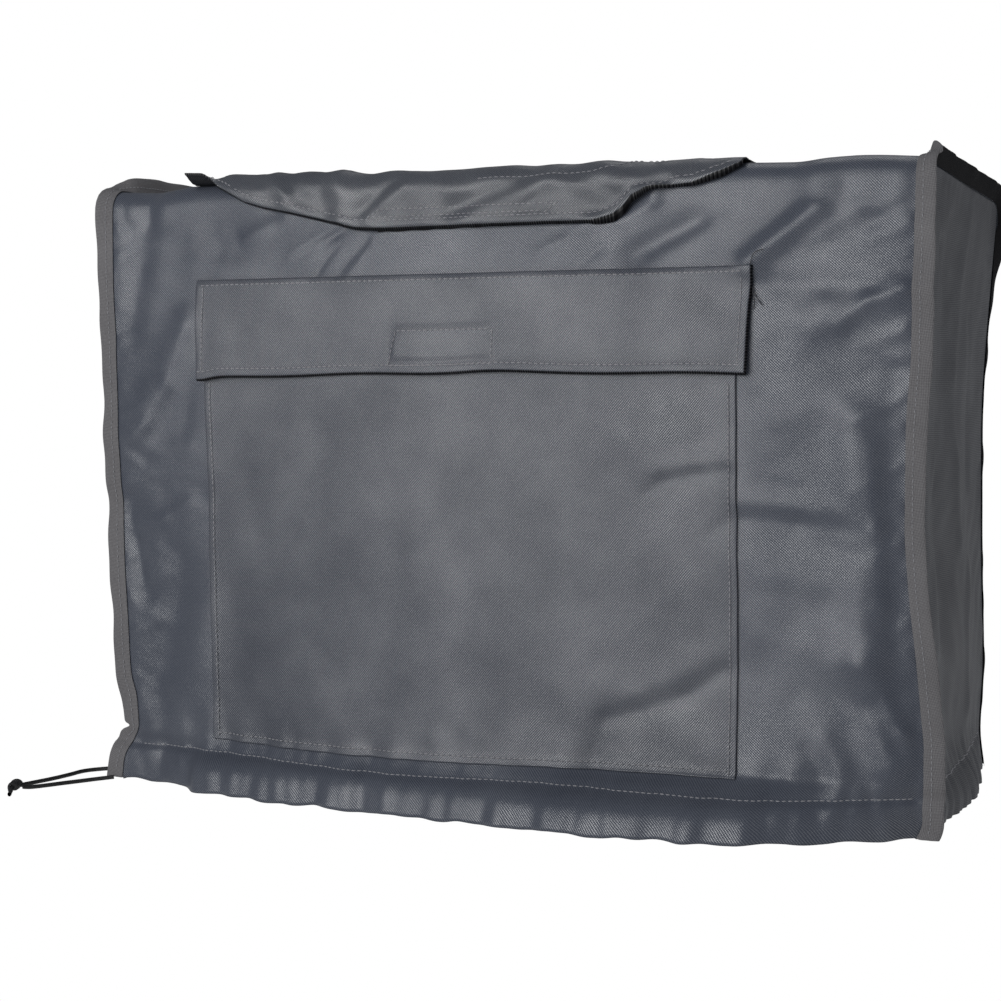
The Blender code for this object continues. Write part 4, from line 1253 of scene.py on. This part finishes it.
def top_flap():
    xs = spaced((-232.0, -229.0, -190.0, 90.0, 125.0, 179.0, 182.0), 2.3)
    rows = 44
    outer = np.zeros((rows, len(xs), 3))
    runs = np.zeros((rows, len(xs)))
    hang = np.arange(422.0, 396.0, -3.0)
    front = front_y(np.tile(xs, (len(hang), 1)), np.minimum(hang, FRONT_TOP)[:, None] + 0 * xs[None])
    for j, x in enumerate(xs):
        edge = float(np.interp(x, TOP_FLAP_EDGE["x"], TOP_FLAP_EDGE["z"]))
        crest = float(smooth(FLAP_CREST["x"], FLAP_CREST["z"], x))
        crest += 0.5 * np.sin(x / 37.0) + 0.3 * np.sin(x / 13.0) - 1.2 * np.exp(-(((x + 88) / 14) ** 2))
        base, back = float(top_z(x, FLAP_BACK_Y)) + 1.6, float(top_z(x, -100.0))
        path = [(FLAP_BACK_Y, base), (-90.0, float(top_z(x, -90.0)) + 1.8)]
        path += [(-104.0, max(back + 1.8, crest - 1.2)), (-118.0, crest)]
        for k in range(1, 15):
            a = k / 14 * np.pi / 2
            path.append((-118 - FLAP_BEND * np.sin(a), crest - FLAP_BEND * (1 - np.cos(a))))
        stand = 4.6 + 2.0 * float(ease(80, 110, x)) + 2.0 * (1 - float(ease(-232, -180, x))) + 0.7 * np.sin(x / 17.0)
        for y, z in zip(front[:, j], hang):
            path.append((min(float(y) - stand, -134.6), z))
        kept = path[:4]
        for a, b in zip(path[3:], path[4:]):
            if b[1] <= edge:
                t = (a[1] - edge) / max(a[1] - b[1], 1e-6)
                kept.append((a[0] + (b[0] - a[0]) * t, a[1] + (b[1] - a[1]) * t))
                break
            kept.append(b)
        # the left corner curls up, so that its underside, painted near-black as shade, shows
        curled = [(FLAP_BACK_Y, base), (-100.0, back + 1.4), (-113.0, back + 0.6), (-120.0, crest - 6.0),
                  (-127.0, crest - 4.2), (-133.0, crest - 1.2), (-137.0, crest + 0.4)]
        curl = 1 - float(ease(-219, -204, x))
        made = []
        for q in (np.array(kept), np.array(curled)):
            run = np.concatenate([[0], np.cumsum(np.hypot(*np.diff(q, axis=0).T))])
            want = np.linspace(0, 1, rows) * run[-1]
            made.append(np.stack([np.interp(want, run, q[:, 0]), np.interp(want, run, q[:, 1]), want], 1))
        q = made[0] * (1 - curl) + made[1] * curl
        outer[:, j, 0] = x
        outer[:, j, 1] = q[:, 0]
        outer[:, j, 2] = q[:, 1]
        runs[:, j] = q[:, 2]
    for _ in range(2):  # the bend is soft
        outer[1:-1, 1:-1] = 0.5 * outer[1:-1, 1:-1] + 0.125 * (
            outer[:-2, 1:-1] + outer[2:, 1:-1] + outer[1:-1, :-2] + outer[1:-1, 2:]
        )
    N = normals_of(outer)
    if N[rows // 3, len(xs) // 2, 2] < 0:
        N = -N
    X, S = outer[..., 0], outer[..., 2].copy()
    S = np.where(outer[..., 1] > -118, 443 + (outer[..., 1] + 118) * 0.5, S)
    h = folds(TOP_FLAP_CREASES, X.ravel(), S.ravel(), 1.8).reshape(X.shape)
    h += waves(X.ravel(), S.ravel() * 1.6, 23, (46, 27), 0.8).reshape(X.shape)
    total = runs[-1][None]
    from_edge = total - runs
    h += 0.6 * (1 - ease(5.2, 6.6, from_edge)) - 0.4 * np.exp(-(((from_edge - 5) / 0.9) ** 2))
    h += 0.07 * np.sin(X / 1.8) * np.exp(-(((from_edge - 5) / 3.0) ** 2))
    # seam line across the flap where its tape is sewn
    h -= 0.35 * np.exp(-(((runs - 40 + X * 0.03) / 1.3) ** 2))
    # left and right corners curl off the cover
    # the creases fade out towards where the flap starts on the top
    h *= ease(0, 6, runs)
    return outer + N * h[..., None], N, runs


TF, TFN, TFS = top_flap()
uv = np.stack([TF[..., 0] * M, TFS * M], -1)
inner = TF - TFN * 1.0
# the near-black inner layer drops below the edge: painted shade under the flap
drop = smooth(FLAP_SHADE_OVERHANG["x"], FLAP_SHADE_OVERHANG["z"], TF[-1, :, 0])
for k, part in ((-1, 1.0), (-2, 0.7), (-3, 0.3)):
    inner[k, :, 2] -= drop * part
    inner[k, :, 1] += 1.2 * part
top = shell("top_flap_cloth", TF, inner, uv)
finish_piece(top, MAT_FLAP, "top_flap")


def on_flap(xs, back):
    """Points on the top flap at x and a length back from its lower edge."""
    mid = TF[0, :, 0]
    out, nn = [], []
    for x, bk in zip(xs, back):
        c = np.interp(x, mid, np.arange(len(mid)))
        j = int(np.clip(round(c), 0, len(mid) - 1))
        s = TFS[:, j]
        at = s[-1] - bk
        p = [float(np.interp(at, s, TF[:, j, k])) for k in range(3)]
        n = [float(np.interp(at, s, TFN[:, j, k])) for k in range(3)]
        p[0] = x
        out.append(np.array(p) + np.array(n) * 0.12)
        nn.append(n)
    return np.array(out), np.array(nn)


def flap_stitches(xs, back):
    p, n = on_flap(xs, back)
    for a in range(0, len(p) - 2, 12):
        nn = n[min(len(n) - 1, a + 6)]
        stitch_line(p[a : a + 13], lift=tuple(nn * 0.12), thick=0.40)


xs = np.arange(-226, 176, 1.4)
flap_stitches(xs, np.full(len(xs), 5.0))
xs = np.arange(-86, 46, 1.4)
flap_stitches(xs, np.full(len(xs), 7.4))
xs = np.arange(-76, 56, 1.4)
flap_stitches(xs, np.full(len(xs), 12.5))
for xa, xb in ((-86, -76), (46, 56)):
    xs = np.linspace(xa, xb, 9)
    flap_stitches(xs, np.linspace(5.5, 13.0, 9))
xs = np.arange(-4, 130, 1.4)
flap_stitches(xs, 31.0 + (xs + 4) * 0.02)
make_stitches("top_flap_stitches", MAT_THREAD)

# ------------------------------------------------------------ hem stitching
def surface_line(P, row_value, cols_slice, lift_dir, at_z):
    """Points on a panel's grid at a height near at_z, along its columns."""
    out = []
    for j in range(*cols_slice.indices(P.shape[1])):
        z = P[:, j, 2]
        n = min(len(z), 60)
        out.append([np.interp(at_z, z[:n], P[:n, j, k]) for k in range(3)])
    return np.array(out)


front_rows = WRAP[WRAP_KINDS == "front"]
hem_line = surface_line(front_rows, 0, slice(2, None), None, 27.5)
hem_line[:, 2] += 1.0 * np.sin(hem_line[:, 0] / 41.0)
hem_line[:, 1] = front_y(hem_line[:, 0], hem_line[:, 2])
stitch_line(hem_line[2:-2], lift=(0, -0.25, 0), thick=0.42)
back_rows = WRAP[WRAP_KINDS == "back"][::-1]
stitch_line(surface_line(back_rows, 0, slice(2, None), None, 27.5)[2:-2], lift=(0, 0.25, 0), thick=0.42)
for hand in (-1, 1):
    line = surface_line(SIDES[hand][1], 0, slice(1, None), None, 27.5)
    stitch_line(line[1:-1], lift=(hand * 0.25, 0, 0), thick=0.42)
make_stitches("hem_stitches", MAT_THREAD)


# ------------------------------------------------------------ drawcord
CORD_D = 3.0
CORD_UPPER = {
    "x": (-309, -322, -330, -331, -333, -337, -337),
    "y": (-112, -115, -126, -144, -163, -183, -198),
    "z": (3.4, 2.2, 1.9, 1.9, 1.9, 1.9, 2.6),
}
CORD_LOWER = {
    "x": (-292, -301, -309, -316, -322, -328, -331),
    "y": (-143.5, -151, -163, -176, -188, -197, -201.5),
    "z": (3.0, 2.2, 1.9, 1.9, 1.9, 1.9, 2.6),
}


def curve_through(p, n):
    fine = []
    for i in range(len(p) - 1):
        a, b, c, d = p[max(0, i - 1)], p[i], p[i + 1], p[min(len(p) - 1, i + 2)]
        for t in np.linspace(0, 1, 12, endpoint=False):
            fine.append(0.5 * (2 * b + (c - a) * t + (2 * a - 5 * b + 4 * c - d) * t**2
                               + (3 * b - a - 3 * c + d) * t**3))
    fine = np.array(fine + [p[-1]])
    run = np.concatenate([[0], np.cumsum(np.linalg.norm(np.diff(fine, axis=0), axis=1))])
    want = np.linspace(0, run[-1], n)
    return np.stack([np.interp(want, run, fine[:, k]) for k in range(3)], 1), run[-1]


def tube(name, pts, radius, sides=14, caps=True):
    """A round mesh tube along points, radius one number or one for each point."""
    pts = np.asarray(pts, float)
    r = np.broadcast_to(radius, (len(pts),))
    t = np.gradient(pts, axis=0)
    t /= np.maximum(np.linalg.norm(t, axis=1, keepdims=True), 1e-9)
    up = np.array([0, 0, 1.0])
    n = up - t[0] * (up @ t[0])
    if np.linalg.norm(n) < 1e-3:
        n = np.array([1.0, 0, 0]) - t[0] * t[0][0]
    n /= np.linalg.norm(n)
    rings = []
    for i in range(len(pts)):
        n = n - t[i] * (n @ t[i])
        n /= np.linalg.norm(n)
        b = np.cross(t[i], n)
        a = np.arange(sides) * 2 * np.pi / sides
        rings.append(pts[i] + (np.cos(a)[:, None] * n + np.sin(a)[:, None] * b) * r[i])
    P = np.array(rings)
    k = np.arange(sides)
    quads = []
    for i in range(len(pts) - 1):
        quads.append(np.stack([i * sides + k, i * sides + (k + 1) % sides, (i + 1) * sides + (k + 1) % sides, (i + 1) * sides + k], -1))
    return P.reshape(-1, 3), np.concatenate(quads)


for node, table in (("cord_upper", CORD_UPPER), ("cord_lower", CORD_LOWER)):
    p = np.stack([table["x"], table["y"], table["z"]], 1).astype(float)
    pts, length = curve_through(p, 34)
    cu = bpy.data.curves.new(node + "_line", "CURVE")
    cu.dimensions = "3D"
    sp = cu.splines.new("POLY")
    sp.points.add(len(pts) - 1)
    for q, c in zip(sp.points, pts):
        q.co = (*(c * M), 1)
    cu.bevel_depth = CORD_D / 2 * M
    cu.bevel_resolution = 5
    cu.use_fill_caps = True
    ob = link(node + "_line", cu)
    finish_piece(ob, MAT_CORD, node)

# The knot: both ends in one overhand, drawn tight, and their short tail.
KNOT_C = np.array([-333.0, -208.5, 4.6])
KNOT_RUN = np.array([0.32, -0.94, 0.0])
KNOT_SIDE = np.array([0.94, 0.32, 0.0])
UPV = np.array([0, 0, 1.0])


def knot_path(phase, turns=1.25):
    a = np.linspace(0, 2 * np.pi * turns, 46) + phase
    s = np.linspace(-5.2, 5.2, 46)
    wind = 2.3 + 0.5 * np.cos(a * 0.5)
    return (KNOT_C + s[:, None] * KNOT_RUN + (np.cos(a) * wind)[:, None] * KNOT_SIDE
            + (np.sin(a) * wind * 0.95)[:, None] * UPV)


vs, qs, base = [], [], 0
for pts, rad in (
    (knot_path(0.3), 1.75),
    (knot_path(2.4), 1.75),
    (knot_path(4.4, 0.9), 1.7),
    (curve_through(np.array([(-331.6, -213.0, 4.0), (-329.6, -217.5, 3.0), (-327.0, -222.5, 2.2), (-324.4, -227.0, 1.8)]), 12)[0], 1.35),
    (curve_through(np.array([(-333.6, -213.2, 4.2), (-331.6, -217.0, 3.6), (-328.6, -220.5, 2.2), (-326.8, -224.0, 1.7)]), 12)[0], 1.2),
):
    v, q = tube("k", pts, rad, 12)
    vs.append(v)
    qs.append(q + base)
    base += len(v)
v = np.concatenate(vs)
v[:, 2] = np.maximum(v[:, 2], 0.15)
knot = faces_mesh("knot", v, np.concatenate(qs))
finish_piece(knot, MAT_CORD, "cord_knot")

# Loose thread tails left by the machine at the flap's upper right corner.
TAILS = (
    ((190, 366), (192, 373), (194, 377), (199, 379)),
    ((190, 364), (191, 356), (194, 349), (198, 343)),
    ((190, 356), (192, 350), (193, 345), (192, 341)),
)
vs, qs, base = [], [], 0
for tail in TAILS:
    q = np.array(tail, float)
    pts, _ = curve_through(np.stack([q[:, 0], q[:, 1] * 0, q[:, 1]], 1), 14)
    pts[:, 1] = front_y(pts[:, 0], pts[:, 2]) - 1.2 - 1.2 * np.sin(np.linspace(0, 3, 14))
    v, q4 = tube("t", pts, 0.32, 6)
    vs.append(v)
    qs.append(q4 + base)
    base += len(v)
tails = faces_mesh("thread_tails", np.concatenate(vs), np.concatenate(qs))
finish_piece(tails, MAT_TAIL)

# ------------------------------------------------------------ floor and light
# The photo's ground is plain white with no shadow on it: white to the camera,
# and to the cloth a dim room over a pale floor.
world = bpy.data.worlds.new("studio")
bpy.context.scene.world = world
world.use_nodes = True
wn = world.node_tree
bg = wn.nodes["Background"]
bg.inputs["Color"].default_value = (1.0, 1.0, 1.0, 1)
bg.inputs["Strength"].default_value = 1.0
room = add(wn, "ShaderNodeBackground")
room.inputs["Strength"].default_value = 1.0
co = add(wn, "ShaderNodeTexCoord").outputs["Generated"]
sep = add(wn, "ShaderNodeSeparateXYZ")
wn.links.new(co, sep.inputs[0])
ramp = add(wn, "ShaderNodeValToRGB")
wn.links.new(math(wn, "ADD", math(wn, "MULTIPLY", sep.outputs[2], 0.5), 0.5), ramp.inputs[0])
stops = ramp.color_ramp.elements
stops[0].position, stops[0].color = 0.0, (0.50, 0.50, 0.50, 1)
stops[1].position, stops[1].color = 1.0, (0.16, 0.17, 0.19, 1)
for at, level in ((0.46, 0.42), (0.52, 0.20), (0.62, 0.15)):
    stop = stops.new(at)
    stop.color = (level, level * 1.01, level * 1.04, 1)
wn.links.new(ramp.outputs[0], room.inputs[0])
rays = add(wn, "ShaderNodeLightPath")
both = add(wn, "ShaderNodeMixShader")
wn.links.new(rays.outputs["Is Camera Ray"], both.inputs[0])
wn.links.new(room.outputs[0], both.inputs[1])
wn.links.new(bg.outputs[0], both.inputs[2])
wn.links.new(both.outputs[0], wn.nodes["World Output"].inputs[0])


def softbox(name, size, place, aim, watts, colour=(1, 1, 1)):
    li = bpy.data.lights.new(name, "AREA")
    li.shape = "RECTANGLE"
    li.size, li.size_y = size
    li.energy = watts
    li.color = colour
    ob = bpy.data.objects.new(name, li)
    bpy.context.scene.collection.objects.link(ob)
    ob.location = place
    ob.rotation_euler = (Vector(aim) - Vector(place)).to_track_quat("-Z", "Y").to_euler()
    return ob


softbox("key", (1.9, 1.4), (-0.42, -2.1, 0.74), (0, 0, 0.26), 32)
softbox("back", (1.6, 0.8), (0.2, 0.9, 2.2), (0, 0, 0.3), 8)
softbox("side", (0.7, 1.2), (2.2, 0.5, 0.7), (0.2, 0, 0.2), 12)

sc = bpy.context.scene
sc.view_settings.view_transform = "Standard"
sc.view_settings.look = "None"
sc.view_settings.exposure = 0.0
